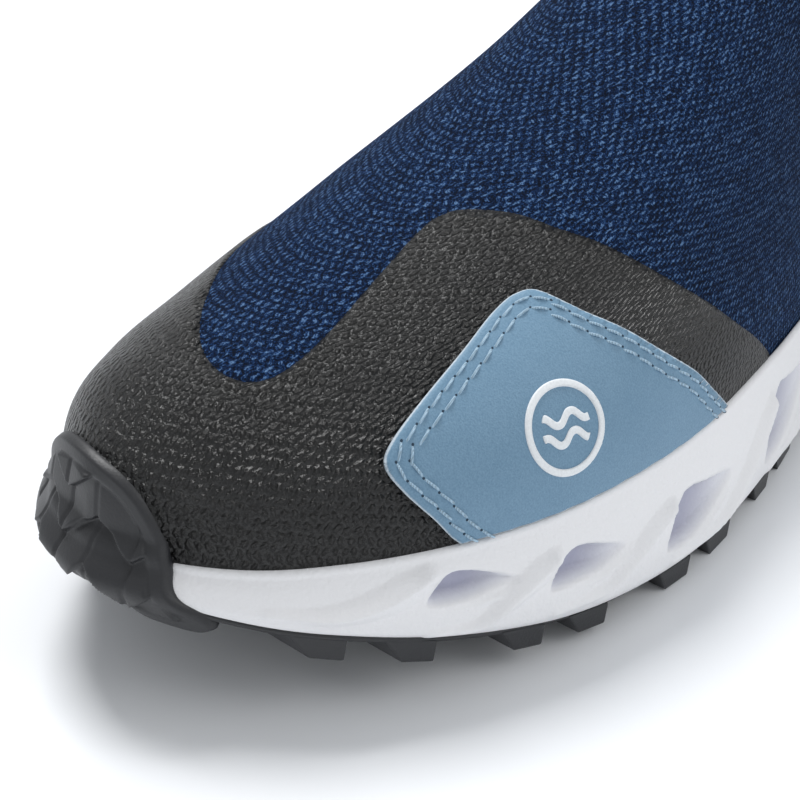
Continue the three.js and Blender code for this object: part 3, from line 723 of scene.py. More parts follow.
def mark_gap(data):
    p, n, side, up = facing(*MARK_AT)
    a, b = (data[:, :3] - p) @ side, (data[:, :3] - p) @ up
    ring = MARK_LINE - np.abs(np.hypot(a, b) - (MARK_RADIUS - MARK_LINE))
    room = MARK_RADIUS - 3.0 - np.hypot(a, b)
    pace, swing = 2 * math.pi / 5.6, 0.9
    steep = np.hypot(1, pace * swing * np.cos(a * pace))
    waves = [MARK_LINE - np.abs(b + lift - swing * np.sin(a * pace)) / steep for lift in (-1.6, 1.6)]
    return np.maximum(ring, np.minimum(room, np.maximum(*waves)))


def near_mark(data):
    return MARK_RADIUS + 6 - np.linalg.norm(data[:, :3] - facing(*MARK_AT)[0], axis=1)


mark_sheet = clip(sheet_of(rows_between(0.05, 0.4)), near_mark)
for _ in range(3):
    mark_sheet = finer(mark_sheet)
mark_cut = clip(mark_sheet, mark_gap)
PRINT = plain("white screen print", "#dfe3e6", "#eef2f5", 0.45, 0.4, 0.02)
mark_face = rolled_edge(mark_gap(mark_cut[0]), PATCH_TOP + 0.3, PATCH_TOP + 0.12, 0.25)
mark = thicken("water_mark", mark_cut, mark_face, PATCH_TOP - 0.15)
dress(mark, "boot", "mark", PRINT, replaces=["patch_mark"])

# %% [markdown]
# ## Stitches
# A stitch is a short arc of thread that dives into the leather at both ends. A Geometry Nodes tree
# sets one on each pitch of a path, lying along it and standing on the surface. The same tree sews
# the patches, the seam tapes, the collar and the loop, with other lengths and turns.

# %% Stitch tree
def stitch_tree():
    tree = bpy.data.node_groups.new("stitches on a path", "GeometryNodeTree")
    tree.interface.new_socket("Geometry", in_out="INPUT", socket_type="NodeSocketGeometry")
    sizes = {"Pitch": 0.0035, "Length": 0.0028, "Thread": 0.0006, "Turn": 0.0, "Wander": 0.06}
    for label, value in sizes.items():
        tree.interface.new_socket(label, in_out="INPUT", socket_type="NodeSocketFloat").default_value = value
    for label in ("Finish", "Hole Finish"):
        tree.interface.new_socket(label, in_out="INPUT", socket_type="NodeSocketMaterial")
    tree.interface.new_socket("Geometry", in_out="OUTPUT", socket_type="NodeSocketGeometry")
    given = add(tree, "NodeGroupInput").outputs

    # One stitch: an arc of thread whose ends dive below the surface.
    back_end = add(tree, "ShaderNodeMath:MULTIPLY", [given["Length"], -0.5])
    front_end = add(tree, "ShaderNodeMath:MULTIPLY", [given["Length"], 0.5])
    sunk = add(tree, "ShaderNodeMath:MULTIPLY", [given["Thread"], -0.55])
    raised = add(tree, "ShaderNodeMath:MULTIPLY", [given["Thread"], 1.3])
    thread_radius = add(tree, "ShaderNodeMath:MULTIPLY", [given["Thread"], 0.5])
    start = add(tree, "ShaderNodeCombineXYZ", [back_end, 0.0, sunk])
    middle = add(tree, "ShaderNodeCombineXYZ", [0.0, 0.0, raised])
    end = add(tree, "ShaderNodeCombineXYZ", [front_end, 0.0, sunk])
    arc = add(tree, "GeometryNodeCurveQuadraticBezier",
              {"Resolution": 6, "Start": start, "Middle": middle, "End": end})
    ring = add(tree, "GeometryNodeCurvePrimitiveCircle", {"Resolution": 7, "Radius": thread_radius})
    stitch = add(tree, "GeometryNodeCurveToMesh", {"Curve": arc, "Profile Curve": ring, "Fill Caps": True})
    stitch = add(tree, "GeometryNodeSetMaterial", {"Geometry": stitch, "Material": given["Finish"]})

    # Beside it the needle's hole, a small dark bead sunk between two stitches: its dark colour is painted
    # shade in the hole.
    aside = add(tree, "ShaderNodeMath:MULTIPLY", [given["Pitch"], 0.5])
    aside = add(tree, "ShaderNodeCombineXYZ", [aside, 0.0, sunk])
    hole = add(tree, "GeometryNodeMeshUVSphere", {"Segments": 8, "Rings": 5, "Radius": given["Thread"]})
    squashed = {"Geometry": hole, "Translation": aside, "Scale": (0.75, 0.65, 0.72)}
    hole = add(tree, "GeometryNodeTransform", squashed)
    hole = add(tree, "GeometryNodeSetMaterial", {"Geometry": hole, "Material": given["Hole Finish"]})
    both = add(tree, "GeometryNodeJoinGeometry", [hole])
    tree.links.new(stitch.outputs[0], both.inputs[0])

    # Each one stands on the surface, looks along the path and wanders a little.
    path = add(tree, "GeometryNodeMeshToCurve", {"Mesh": given["Geometry"]})
    path = add(tree, "GeometryNodeResampleCurve", {"Curve": path, "Length": given["Pitch"]}, mode="LENGTH")
    up = add(tree, "GeometryNodeInputNamedAttribute", {"Name": "up"}, data_type="FLOAT_VECTOR")
    stand = add(tree, "FunctionNodeAlignRotationToVector", {"Vector": up}, axis="Z")
    tangent = add(tree, "GeometryNodeInputTangent")
    along = add(tree, "FunctionNodeAlignRotationToVector", {"Rotation": stand, "Vector": tangent},
                axis="X", pivot_axis="Z")
    wander = add(tree, "FunctionNodeRandomValue", {"Min": -1.0, "Max": 1.0, "Seed": 5}, data_type="FLOAT")
    angle = add(tree, "ShaderNodeMath:MULTIPLY_ADD", [wander, given["Wander"], given["Turn"]])
    turn = add(tree, "FunctionNodeEulerToRotation", [add(tree, "ShaderNodeCombineXYZ", [0.0, 0.0, angle])])
    pose = add(tree, "FunctionNodeRotateRotation", [along, turn], rotation_space="LOCAL")
    placed = add(tree, "GeometryNodeInstanceOnPoints", {"Points": path, "Instance": both, "Rotation": pose})
    real = add(tree, "GeometryNodeRealizeInstances", [placed])
    add(tree, "NodeGroupOutput", [add(tree, "GeometryNodeSetShadeSmooth", [real])])
    return tree


STITCHES = stitch_tree()


def grown(name, mesh, tree, **inputs):
    """Runs a tree on a mesh and returns the result as a plain object."""
    obj = bpy.data.objects.new(name, mesh)
    bpy.context.scene.collection.objects.link(obj)
    maker = obj.modifiers.new(tree.name, "NODES")
    maker.node_group = tree
    for item in tree.interface.items_tree:
        if item.item_type == "SOCKET" and item.in_out == "INPUT" and item.name in inputs:
            maker[item.identifier] = inputs[item.name]
    depsgraph = bpy.context.evaluated_depsgraph_get()
    made = bpy.data.meshes.new_from_object(obj.evaluated_get(depsgraph), depsgraph=depsgraph)
    obj.modifiers.clear()
    obj.data = made
    print(name, len(made.polygons), "faces")
    return obj


def sew(name, paths, thread, slot_name="trim", body="boot", **inputs):
    """Stitches along paths, each a pair of points and outward directions in form mm."""
    mesh = bpy.data.meshes.new(name + " path")
    points = np.concatenate([p for p, _ in paths])
    starts = np.cumsum([0] + [len(p) for p, _ in paths])
    edges = [(k, k + 1) for a, b in zip(starts, starts[1:]) for k in range(a, b - 1)]
    mesh.from_pydata(place(points).tolist(), edges, [])
    ups = mesh.attributes.new("up", "FLOAT_VECTOR", "POINT")
    ups.data.foreach_set("vector", np.concatenate([n for _, n in paths]).astype(np.float32).ravel())
    inputs["Hole Finish"] = HOLE
    obj = grown(name, mesh, STITCHES, Finish=thread, **inputs)
    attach(obj, body)
    return obj


def thread_finish(name, dark, light):
    """Bonded polyester thread: a slight gloss on a fine twist."""
    material, tree = finish(name)
    spot = add(tree, "ShaderNodeTexCoord").outputs["Object"]
    twist = add(tree, "ShaderNodeTexWave", {"Vector": spot, "Scale": 900.0, "Distortion": 1.0}).outputs["Fac"]
    shade = add(tree, "ShaderNodeValToRGB", [twist], stops=[(0.1, dark), (0.8, light)])
    relief = add(tree, "ShaderNodeBump", {"Height": twist, "Distance": 0.08 * MM})
    surface = {"Base Color": shade, "Normal": relief, "Roughness": 0.5, "Sheen Weight": 0.15}
    add(tree, "ShaderNodeOutputMaterial", [add(tree, "ShaderNodeBsdfPrincipled", surface)])
    return material


BLUE_THREAD = thread_finish("light blue bonded thread", "#8ba5b7", "#a3c1d6")
# The needle hole's dark colour is painted shade.
HOLE = plain("shaded needle hole", "#293a4a", "#2c3f50", 0.95, 0.5, 0.02)
NAVY_THREAD = thread_finish("navy bonded thread", "#1e355b", "#26406b")

# %% Rows on the patches
def inset_path(outline, inset, lift):
    """An outline moved inwards over the skin, kept only where it is above the rim of the foam."""
    p, n = skin(outline[:, 0], outline[:, 1])
    by_angle = (skin(outline[:, 0] + 0.05, outline[:, 1])[0] - p) / 0.05
    by_level = (skin(outline[:, 0], outline[:, 1] + 0.001)[0] - p) / 0.001
    along = np.roll(p, -1, axis=0) - np.roll(p, 1, axis=0)
    inward = np.cross(along, n)
    inward /= np.linalg.norm(inward, axis=1)[:, None]
    turn = np.stack([by_angle, by_level], -1)
    move = np.stack([np.linalg.lstsq(turn[k], inward[k], rcond=None)[0] for k in range(len(p))])
    middle = outline.mean(axis=0)
    if np.sum(move * (middle - outline) * [1, 2e4]) < 0:
        move = -move
    spots = outline + move * inset
    q, m = skin(spots[:, 0], spots[:, 1])
    keep = q[:, 2] > rim(q[:, 1]) + 1.1
    first = int(np.flatnonzero(keep & ~np.roll(keep, 1))[0])
    order = [(first + k) % len(q) for k in range(int(keep.sum()))]
    return q[order] + m[order] * lift, m[order]


for side_name, path in (("outer", outer_path), ("inner", inner_path)):
    rows = [inset_path(path, inset, PATCH_TOP) for inset in (1.75, 3.7)]
    sew("patch_stitches_" + side_name, rows, BLUE_THREAD, "leather", Pitch=3.5 * MM, Length=3.1 * MM,
        Thread=0.5 * MM, Turn=0.08, Wander=0.06)

# %% [markdown]
# ## Side seam tapes
# A grey tape covers the joint between vamp and rear. It is sewn along both edges.

# %% Tapes
TAPE_HALF = 3.5
TAPE = plain("grey seam tape", "#37404e", "#3b4554", 0.75, 0.35, 0.06)


def seam_row(side, shift, lift):
    """Points up the side of the boot, at a distance from the seam."""
    z = np.linspace(31, 117, 60)
    y = SEAM_Y + shift + z * SEAM_LEAN
    at = lambda x: np.stack([side * x, y, z], -1)
    p = out_to_skin(at, np.full(len(z), 5.0), np.full(len(z), 90.0))
    n = slope_of(p)
    return p + n * lift, n


def seam_tape(side, side_name, node):
    gap = lambda d: np.minimum(TAPE_HALF - np.abs(seam_side(d)) * 0.95, side * d[:, 0] - 3)
    cut = fine_cut(sheet_of(rows_between(0.0, 0.806)), gap, 1)
    face = rolled_edge(gap(cut[0]), 0.15, -0.2, 0.6)
    tape = thicken("seam_tape_" + side_name, cut, face, KNIT_OUT - 0.05)
    dress(tape, "boot", "trim", TAPE, replaces=[node])
    sew("tape_stitches_" + side_name, [seam_row(side, shift, 0.1) for shift in (-2.3, 2.3)], NAVY_THREAD,
        Pitch=3.0 * MM, Length=2.3 * MM, Thread=0.5 * MM)


seam_tape(1, "outer", "seam_tape_lateral")
seam_tape(-1, "inner", "seam_tape_medial")

# %% [markdown]
# ## The collar
# The cuff is smooth neoprene, folded into an elastic binding at its edge. Slanted cover stitches join
# it to the knit, and a row of straight ones holds the binding.

# %% Cuff, binding and their stitches
cuff = thicken("neoprene_cuff", sheet_of(rows_between(0.8125, 0.985)), KNIT_OUT, KNIT_IN, (0, 1, 1))
dress(cuff, "boot", "neoprene", NEOPRENE, LINING, replaces=["collar"])


def carried(name, section, columns=240):
    """A closed section of (offset, level) points carried round the boot."""
    angles = np.linspace(-270, 90, columns, endpoint=False)
    m = len(section)
    points = np.empty((m, columns, 3))
    for k, (offset, level) in enumerate(section):
        p, n = skin(angles, np.full(columns, level))
        points[k] = p + n * offset
    girth = np.cumsum(np.linalg.norm(np.diff(points[0], axis=0, append=points[0][:1]), axis=1))
    reach = np.cumsum([0] + [math.dist(points[k, 0], points[(k + 1) % m, 0]) for k in range(m - 1)])
    uv = np.stack([np.broadcast_to(girth, (m, columns)), np.broadcast_to(reach[:, None], (m, columns))], -1)
    obj = mesh_object(name, points.reshape(-1, 3), tube_quads(m, columns), uv.reshape(-1, 2))
    point_out(obj)
    return obj


fold = [(0.15, 0.957), (0.5, 0.961), (0.62, 0.968), (0.6, 0.978), (0.3, 0.99)]
fold += [(-2.33 + 2.6 * math.cos(t), 0.992 + 0.012 * math.sin(t)) for t in np.linspace(0.2, math.pi - 0.2, 9)]
fold += [(-4.95, 0.99), (-5.2, 0.978), (-5.25, 0.968), (-5.1, 0.961), (-4.7, 0.957)]
fold += [(KNIT_IN - 0.12, 0.9875), (KNIT_OUT + 0.12, 0.9875)]
binding = carried("collar_binding_fold", fold)
dress(binding, "boot", "trim", TRIM, replaces=["collar_binding"])
print("collar_binding_fold", len(binding.data.polygons), "faces")


def round_row(level, offset):
    angles = np.linspace(-270, 90, 241)
    p, n = skin(angles, np.full(len(angles), level))
    return p + n * offset, n


sew("binding_stitches", [round_row(0.965, 0.55)], NAVY_THREAD,
    Pitch=2.8 * MM, Length=2.2 * MM, Thread=0.45 * MM)
sew("cover_stitches", [round_row(0.811, -0.45)], NAVY_THREAD,
    Pitch=1.7 * MM, Length=5.0 * MM, Thread=0.5 * MM, Turn=1.15, Wander=0.05)
sew("cover_stitch_edges", [round_row(level, -0.42) for level in (0.795, 0.827)], NAVY_THREAD,
    Pitch=2.4 * MM, Length=2.2 * MM, Thread=0.5 * MM)

# %% Label inside the collar
LABEL = plain("white satin label", "#d5d7d9", "#e3e6e8", 0.45, 0.3, 0.04)
LABEL_HALF, LABEL_LEVEL, LABEL_REACH = 10.5, 0.88, 0.05


def label_gap(data):
    """Positive inside the label's outline, at the back of the collar."""
    beside = np.minimum(LABEL_HALF - np.abs(data[:, 0] - BACK_X), data[:, 1] - 240)
    return np.minimum(beside, LABEL_REACH - np.abs(data[:, LEVEL] - LABEL_LEVEL))


cut = clip(sheet_of(rows_between(0.81, 0.95)), label_gap)
label = thicken("size_label", cut, KNIT_IN - 0.1, KNIT_IN - 0.5)
dress(label, "boot", "mark", LABEL, replaces=["collar_label"])

# %% [markdown]
# ## The pull loop
# A strap of blue webbing is sewn flat at the back and stands off above, wide enough for a finger. It
# swings on its sewn end, so it rides on its own body. We sweep the strap's section round its path.

# %% Loop and its sewn foot
LOOP_Z, LOOP_WIDTH, LOOP_THICK = 118, 15, 1.6


def back_skin(sideways, z):
    """Points of the skin at the back of the boot, at distances beside its middle and at heights."""
    at = lambda y: np.stack([BACK_X + sideways, y, z], -1)
    return out_to_skin(at, np.full(np.shape(z), 200.0), np.full(np.shape(z), 300.0))


back_low = back_skin(0, LOOP_Z)[1] + 0.4
back_high = back_skin(0, LOOP_Z + 36)[1] + 2.6
loop_outline = [(back_low + 0.6, 3), (back_low + 9, 8), (back_low + 15.5, 17), (back_low + 17, 27),
                (back_low + 13, 35.5), (back_high + 2.6, 38), (back_high + 0.8, 34), (back_high + 0.3, 24),
                (back_low + 1.6, 11)]
loop_path = spline([(y, z + LOOP_Z) for y, z in loop_outline], True, 120)


def webbing():
    """Woven polyester webbing: ribs across the strap, 1.2 mm apart, with a herringbone of yarns."""
    material, tree = finish("blue woven webbing")
    place_on_strap = add(tree, "ShaderNodeSeparateXYZ", [add(tree, "ShaderNodeUVMap", uv_map="surface")])
    fold_over = add(tree, "ShaderNodeMath:PINGPONG", [place_on_strap.outputs[1], 1.25])
    fold_over = add(tree, "ShaderNodeMath:MULTIPLY", [fold_over, 4.0])
    phase = add(tree, "ShaderNodeMath:MULTIPLY_ADD", [place_on_strap.outputs[0], 5.2, fold_over])
    tone = add(tree, "ShaderNodeMath:MULTIPLY_ADD", [add(tree, "ShaderNodeMath:SINE", [phase]), 0.5, 0.5])
    shade = add(tree, "ShaderNodeValToRGB", [tone], stops=[(0.0, "#48687f"), (0.9, "#85a5bc")])
    relief = add(tree, "ShaderNodeBump", {"Height": tone, "Distance": 0.25 * MM})
    surface = {"Base Color": shade, "Normal": relief, "Roughness": 0.75, "Sheen Weight": 0.2}
    add(tree, "ShaderNodeOutputMaterial", [add(tree, "ShaderNodeBsdfPrincipled", surface)])
    return material


WEBBING = webbing()


def strap(name, path, width, thick, round_by=0.5):
    """A strap with soft edges swept round a closed path of (y, z) points."""
    ahead = np.roll(path, -1, axis=0) - np.roll(path, 1, axis=0)
    inward = np.stack([-ahead[:, 1], ahead[:, 0]], 1) / np.linalg.norm(ahead, axis=1)[:, None]
    middle = path.mean(axis=0)
    if np.sum(inward * (middle - path)) < 0:
        inward = -inward
    w, r, t = width / 2 - round_by, width / 2, thick
    section = [(-w, 0), (-w * 0.5, -0.06), (0, 0), (w * 0.5, -0.06), (w, 0), (r, t * 0.3), (r, t * 0.7),
               (w, t), (0, t), (-w, t), (-r, t * 0.7), (-r, t * 0.3)]
    n, m = len(path), len(section)
    points = [(BACK_X + a, *(path[i] + inward[i] * b)) for a, b in section for i in range(n)]
    girth = np.cumsum(np.linalg.norm(np.diff(path, axis=0, append=path[:1]), axis=1))
    uv = [(girth[i], a) for a, _ in section for i in range(n)]
    obj = mesh_object(name, points, tube_quads(m, n), uv)
    point_out(obj)
    return obj


loop = strap("webbing_loop", loop_path, LOOP_WIDTH, LOOP_THICK)
dress(loop, "loop", "webbing", WEBBING, replaces=["pull_loop"])
FOOT_HALF, FOOT_REACH, FOOT_Z, FOOT_TOP = 8.6, 9, LOOP_Z - 7.4, 1.9


def foot_gap(data):
    """Positive inside the loop's sewn foot, at the back of the boot."""
    beside = np.minimum(FOOT_HALF - np.abs(data[:, 0] - BACK_X), data[:, 1] - 200)
    return np.minimum(beside, FOOT_REACH - np.abs(data[:, 2] - FOOT_Z))


cut = fine_cut(sheet_of(rows_between(0.45, 0.85)), foot_gap, 1.2)
foot = thicken("loop_foot", cut, rolled_edge(foot_gap(cut[0]), FOOT_TOP, 1.1, 0.8), KNIT_OUT + 0.1)
dress(foot, "boot", "webbing", WEBBING, replaces=["loop_anchor"])

# %% Stitches on the loop's foot
def foot_row(points):
    """A stitch row on the loop's foot, through (sideways, up) points in mm from its middle."""
    sideways, up = spline(points, False, 40).T
    p = back_skin(sideways, FOOT_Z + up)
    n = slope_of(p)
    return p + n * FOOT_TOP, n


low_left, low_right, high_right, high_left = (-6.8, -7.2), (6.8, -7.2), (6.8, 7.2), (-6.8, 7.2)
box_and_cross = [(low_left, low_right), (low_right, high_right), (high_right, high_left),
                 (high_left, low_left), (low_left, high_right), (low_right, high_left)]
sew("loop_foot_stitches", [foot_row(row) for row in box_and_cross], NAVY_THREAD, "webbing",
    Pitch=2.3 * MM, Length=1.9 * MM, Thread=0.5 * MM)

# %% [markdown]
# ## The foam midsole
# White EVA foam, moulded in one piece: a cup round the foot, with leaf-shaped windows sunk in its
# side and a raised blade sweeping up between each two. We build the wall as a ring of columns with
# a rounded profile, then push each point in or out by a height map drawn in (length, height).

# %% Foam finish
def foam_finish():
    """Moulded EVA: matt white with a fine leathery grain, greyed down in the windows by painted shade."""
    material, tree = finish("moulded white EVA foam")
    spot = add(tree, "ShaderNodeTexCoord").outputs["Object"]
    cells = add(tree, "ShaderNodeTexVoronoi", {"Vector": spot, "Scale": 1 / (0.9 * MM)}, feature="SMOOTH_F1")
    grain = add(tree, "ShaderNodeTexNoise", {"Vector": spot, "Scale": 1 / (0.5 * MM), "Detail": 2.0})
    depth = add(tree, "ShaderNodeAttribute", attribute_name="recess").outputs["Fac"]
    # White foam at the surface; the greys further down a window are painted shade.
    foam_and_window_shade_tones = [(0.0, "#ececee"), (0.4, "#dcdde4"), (1.0, "#a7a8bb")]
    shade = add(tree, "ShaderNodeValToRGB", [depth], stops=foam_and_window_shade_tones)
    skin_grain = add(tree, "ShaderNodeMath:ADD", [cells, grain])
    relief = add(tree, "ShaderNodeBump", {"Height": skin_grain, "Distance": 0.09 * MM})
    surface = {"Base Color": shade, "Normal": relief, "Roughness": 0.58, "Specular IOR Level": 0.35}
    add(tree, "ShaderNodeOutputMaterial", [add(tree, "ShaderNodeBsdfPrincipled", surface)])
    return material


FOAM = foam_finish()

# %% Windows and blades as a height map
WINDOW_DEPTH, BLADE_HEIGHT, WALL_ROOM = 3.2, 1.8, 3.45
WINDOWS = [
    [(34, 20.2), (36.9, 23.8), (39.4, 24.7), (43.3, 23.7), (49.5, 20.6), (45, 20), (39, 19.4)],
    [(54.8, 16), (57.6, 20.6), (61, 22.2), (66.5, 20.6), (72, 18.1), (67, 16), (60.5, 15.6)],
    [(83.4, 11.2), (85.3, 17.2), (88.6, 21.4), (95, 20.8), (105.3, 18.4), (98.3, 14), (90.4, 10.4)],
    [(123.5, 10.4), (125.2, 18.5), (129.5, 24.6), (137, 24.2), (150, 21.5), (142, 15.6), (132, 10.6)],
    [(164, 10), (165.6, 17), (170, 22.6), (178, 22.4), (191, 20.2), (183, 14.6), (173, 10)],
    [(204, 10.6), (205.6, 18), (210, 23.8), (218, 23.6), (231, 21.4), (223, 15.4), (213, 10.6)],
    [(240, 14), (241.6, 21.6), (245.5, 28), (252, 28.4), (264, 26.6), (257, 20), (248.5, 14.6)]]
BLADES = [
    [(14, 22.6), (21, 21.4), (28, 22.2), (35.2, 25.2)],
    [(34.5, 14.2), (41.5, 13.8), (47, 17), (51.5, 19.4), (56, 21.8)],
    [(56, 10.8), (66, 11), (72, 13.8), (78, 17), (84, 20.2)],
    [(86, 7.6), (100, 8.4), (110, 13.4), (118, 18.6), (125.2, 23.4)],
    [(127, 7.2), (142, 8.4), (151, 13), (158, 17.6), (165.4, 22.2)],
    [(167, 7), (182, 8.2), (191, 13), (198, 18), (205.4, 23)],
    [(207, 7.4), (221, 9), (229, 14), (235, 20), (241.2, 26.6)]]


def flat_distance(y, z, path, closed):
    """Distance in mm to a flat path, and how far along it from 0 to 1; negative inside a closed one."""
    a = path if closed else path[:-1]
    b = np.roll(path, -1, axis=0) if closed else path[1:]
    best, where = np.full(y.shape, 1e9), np.zeros(y.shape)
    inside = np.zeros(y.shape, bool)
    for k, ((ay, az), (by, bz)) in enumerate(zip(a, b)):
        dy, dz = by - ay, bz - az
        t = np.clip(((y - ay) * dy + (z - az) * dz) / (dy * dy + dz * dz + 1e-12), 0, 1)
        d = np.hypot(y - ay - t * dy, z - az - t * dz)
        where = np.where(d < best, (k + t) / len(a), where)
        best = np.minimum(best, d)
        if closed and az != bz:
            inside ^= ((az > z) != (bz > z)) & (y < dy * (z - az) / dz + ay)
    return (np.where(inside, -best, best) if closed else best), where


def sculpt(y, z):
    """Height in mm added to the foam's wall, and how far a point is down in a window, from 0 to 1."""
    height, recess = np.zeros(y.shape), np.zeros(y.shape)
    for points in WINDOWS:
        path = spline(points, True, 56)
        d, _ = flat_distance(y, z, path, True)
        left, right, top = points[0][0], points[4][0], max(b for _, b in points)
        away = (y - left) / (right - left) + 0.028 * (top - z)
        depth = smooth(0.15, -1.2, d) * (0.22 + 0.78 * (1 - smooth(0.45, 1.15, away)))
        recess = np.maximum(recess, depth)
        lip = np.exp(-((d - 1.4) / 0.5) ** 2) * smooth(2.0, -2.0, z - (points[0][1] + points[4][1]) / 2)
        height += 0.6 * lip * smooth(left + 4, left + 12, y)
    for points in BLADES:
        path = spline(points, False, 40)
        d, along = flat_distance(y, z, path, False)
        width = 0.9 + 0.9 * smooth(0.0, 0.8, along) * (1 - 0.5 * smooth(0.85, 1.0, along))
        rise = np.clip(1 - d / (width * 1.4), 0, 1) ** 0.8
        height = np.maximum(height, BLADE_HEIGHT * rise * (0.35 + 0.65 * smooth(0.05, 0.4, along)))
    return height * (1 - recess) - WINDOW_DEPTH * recess, recess


# %% Columns round the sole
def ring_columns(step):
    """Stations along the sole's edge at even steps: y values, the same for both sides."""
    turn = np.linspace(0, math.pi, 4000)
    y = LENGTH / 2 - (LENGTH / 2 - 0.15) * np.cos(turn)
    run = np.concatenate([[0], np.cumsum(np.hypot(np.diff(y), np.diff(sole_half(y))))])
    return np.interp(np.linspace(0, run[-1], int(run[-1] / step)), run, y)


def ring_surface(y, rows):
    """Points of a ring round the sole; rows are (inset, z) functions of y, from bottom to top."""
    points = []
    for inset, z in rows:
        for side in (1, -1):
            away = inset(y)
            along = away + y * (1 - 2 * away / LENGTH)
            h = np.maximum(0.1, sole_half(along, away))
            line = np.stack([centre(along) + side * h, along, z(along)], 1)
            points.append(line if side == 1 else line[::-1])
    return np.array(points).reshape(len(rows), 2 * len(y), 3)


def ring_faces(rows, count, close_low=True, close_high=True):
    """Quads of a ring, with ladders of quads across its lowest and highest row."""
    faces = []
    for k in range(rows - 1):
        for j in range(count):
            a, b = k * count + j, k * count + (j + 1) % count
            faces.append([a, b, b + count, a + count])
    half_count = count // 2
    for row, wanted, flip in ((0, close_low, True), (rows - 1, close_high, False)):
        if wanted:
            for j in range(half_count - 1):
                a, b = row * count + j, row * count + j + 1
                c, d = row * count + count - 2 - j, row * count + count - 1 - j
                faces.append([a, d, c, b] if flip else [a, b, c, d])
    return faces


WALL_ROWS = 44
foam_inset = curve((0, 1.2), (0.05, 0.5), (0.2, 0), (0.6, 0.8), (0.86, 2.0), (1, 2.9))


def wall_profile():
    """The foam wall as (inset, z) functions: bottom edge, bulging side, rounded rim, then down the cup."""
    low = lambda y: LUG + 0.7 + spring(y)
    rows = []
    for share in np.linspace(0, 1, WALL_ROWS):
        rows.append((lambda y, s=share: foam_inset(s) + 0 * y,
                     lambda y, s=share: low(y) + (rim(y) - 1.2 - low(y)) * s))
    for turn in np.linspace(0.15, 1, 7) * math.pi / 2:
        rows.append((lambda y, t=turn: 2.9 + 1.25 * (1 - math.cos(t)) + 0 * y,
                     lambda y, t=turn: rim(y) - 1.2 + 1.2 * math.sin(t)))
    for drop in (0.4, 1.0):
        rows.append((lambda y, d=drop: RIM_INSET + 0.12 + 0.2 * d + 0 * y, lambda y, d=drop: rim(y) - d))
    rows.append((lambda y: RIM_INSET + 0.5 + 0 * y, lambda y: footbed(y) - 1.9))
    return rows


columns = ring_columns(0.52)
rows = wall_profile()
foam_points = ring_surface(columns, rows)
outward = np.cross(np.roll(foam_points, -1, axis=1) - np.roll(foam_points, 1, axis=1), [0, 0, 1])
outward /= np.maximum(np.linalg.norm(outward, axis=-1, keepdims=True), 1e-9)
push, recess = sculpt(foam_points[:WALL_ROWS, :, 1], foam_points[:WALL_ROWS, :, 2])
wall_y = foam_points[:WALL_ROWS, :, 1]
insets = np.array([inset(columns[:1])[0] for inset, _ in rows[:WALL_ROWS]])[:, None]
beside_foot = smooth(-6, -2, foam_points[:WALL_ROWS, :, 2] - footbed(wall_y))
push = np.maximum(push, -WINDOW_DEPTH + beside_foot * np.maximum(0, insets + WINDOW_DEPTH - WALL_ROOM))
foam_points[:WALL_ROWS] += outward[:WALL_ROWS] * push[..., None]
faces = ring_faces(len(rows), foam_points.shape[1])
uv = foam_points[..., 1:].reshape(-1, 2)
# How deep each point lies in a window, stored on the mesh for the foam's painted shade.
shade = np.zeros(foam_points.shape[:2])
shade[:WALL_ROWS] = recess
midsole = mesh_object("foam_midsole", foam_points.reshape(-1, 3), faces, uv, fields={"recess": shade})
point_out(midsole)
dress(midsole, "boot", "foam", FOAM, replaces=["midsole"])
print("foam_midsole", len(faces), "faces")

# %% [markdown]
# ## The rubber outsole
# A thin black sheet under the foam, with a row of lugs along each edge. Each lug slopes on its toe
# side and is steep behind. A Geometry Nodes tree would stretch the lugs' bevels, because no two have
# the same size, so we bevel each one at its own size in mesh code.

# %% Rubber, sheet and lugs
RUBBER_FINISH = plain("moulded black rubber", "#242528", "#292a2d", 0.46, 0.45, 0.05)
sheet_inset = curve((0, 0.2), (22, 0.3), (60, 1.3), (300, 1.3))
sheet_rows = [(lambda y: sheet_inset(y) + 0.5, lambda y: LUG + spring(y) - 0.1),
              (lambda y: sheet_inset(y), lambda y: LUG + spring(y) + 0.2),
              (lambda y: sheet_inset(y), lambda y: LUG + RUBBER + spring(y) - 0.5),
              (lambda y: sheet_inset(y) + 0.7, lambda y: LUG + RUBBER + spring(y))]
low_columns = ring_columns(2.0)
sheet_points = ring_surface(low_columns, sheet_rows)
sole_sheet = mesh_object("outsole_sheet", sheet_points.reshape(-1, 3), ring_faces(4, sheet_points.shape[1]))
point_out(sole_sheet)
dress(sole_sheet, "boot", "rubber", RUBBER_FINISH, replaces=["outsole"])

LUG_ROWS = [
    (15.6, 23), (27.8, 35.6), (46.6, 55), (60, 69.3), (83.4, 93.6), (99.2, 110), (122, 131.5), (136, 148.5),
    (160, 170), (174, 186), (198, 208), (212, 224), (236, 246), (250, 262), (271, 280), (284, 292)]


def lug(bm, y0, y1, x_low, x_high, ramp_run=2.4):
    """One lug: a ramp toward the toe, a steep heel side, softened edges; its sides are functions of y."""
    corners = []
    for up, ya, yb in ((0, y0 + ramp_run, y1 - 0.6), (LUG + 0.5, y0, y1)):
        for x_of, y in ((x_low, ya), (x_high, ya), (x_high, yb), (x_low, yb)):
            corners.append((float(x_of(y)), y, float(spring(y)) + up))
    verts = [bm.verts.new(place(corner)) for corner in corners]
    quads = [(3, 2, 1, 0), (4, 5, 6, 7)] + [(k, (k + 1) % 4, 4 + (k + 1) % 4, 4 + k) for k in range(4)]
    made = [bm.faces.new([verts[k] for k in quad]) for quad in quads]
    edges = list({edge for face in made for edge in face.edges})
    bmesh.ops.bevel(bm, geom=edges, offset=0.4 * MM, segments=2, affect="EDGES", profile=0.6)


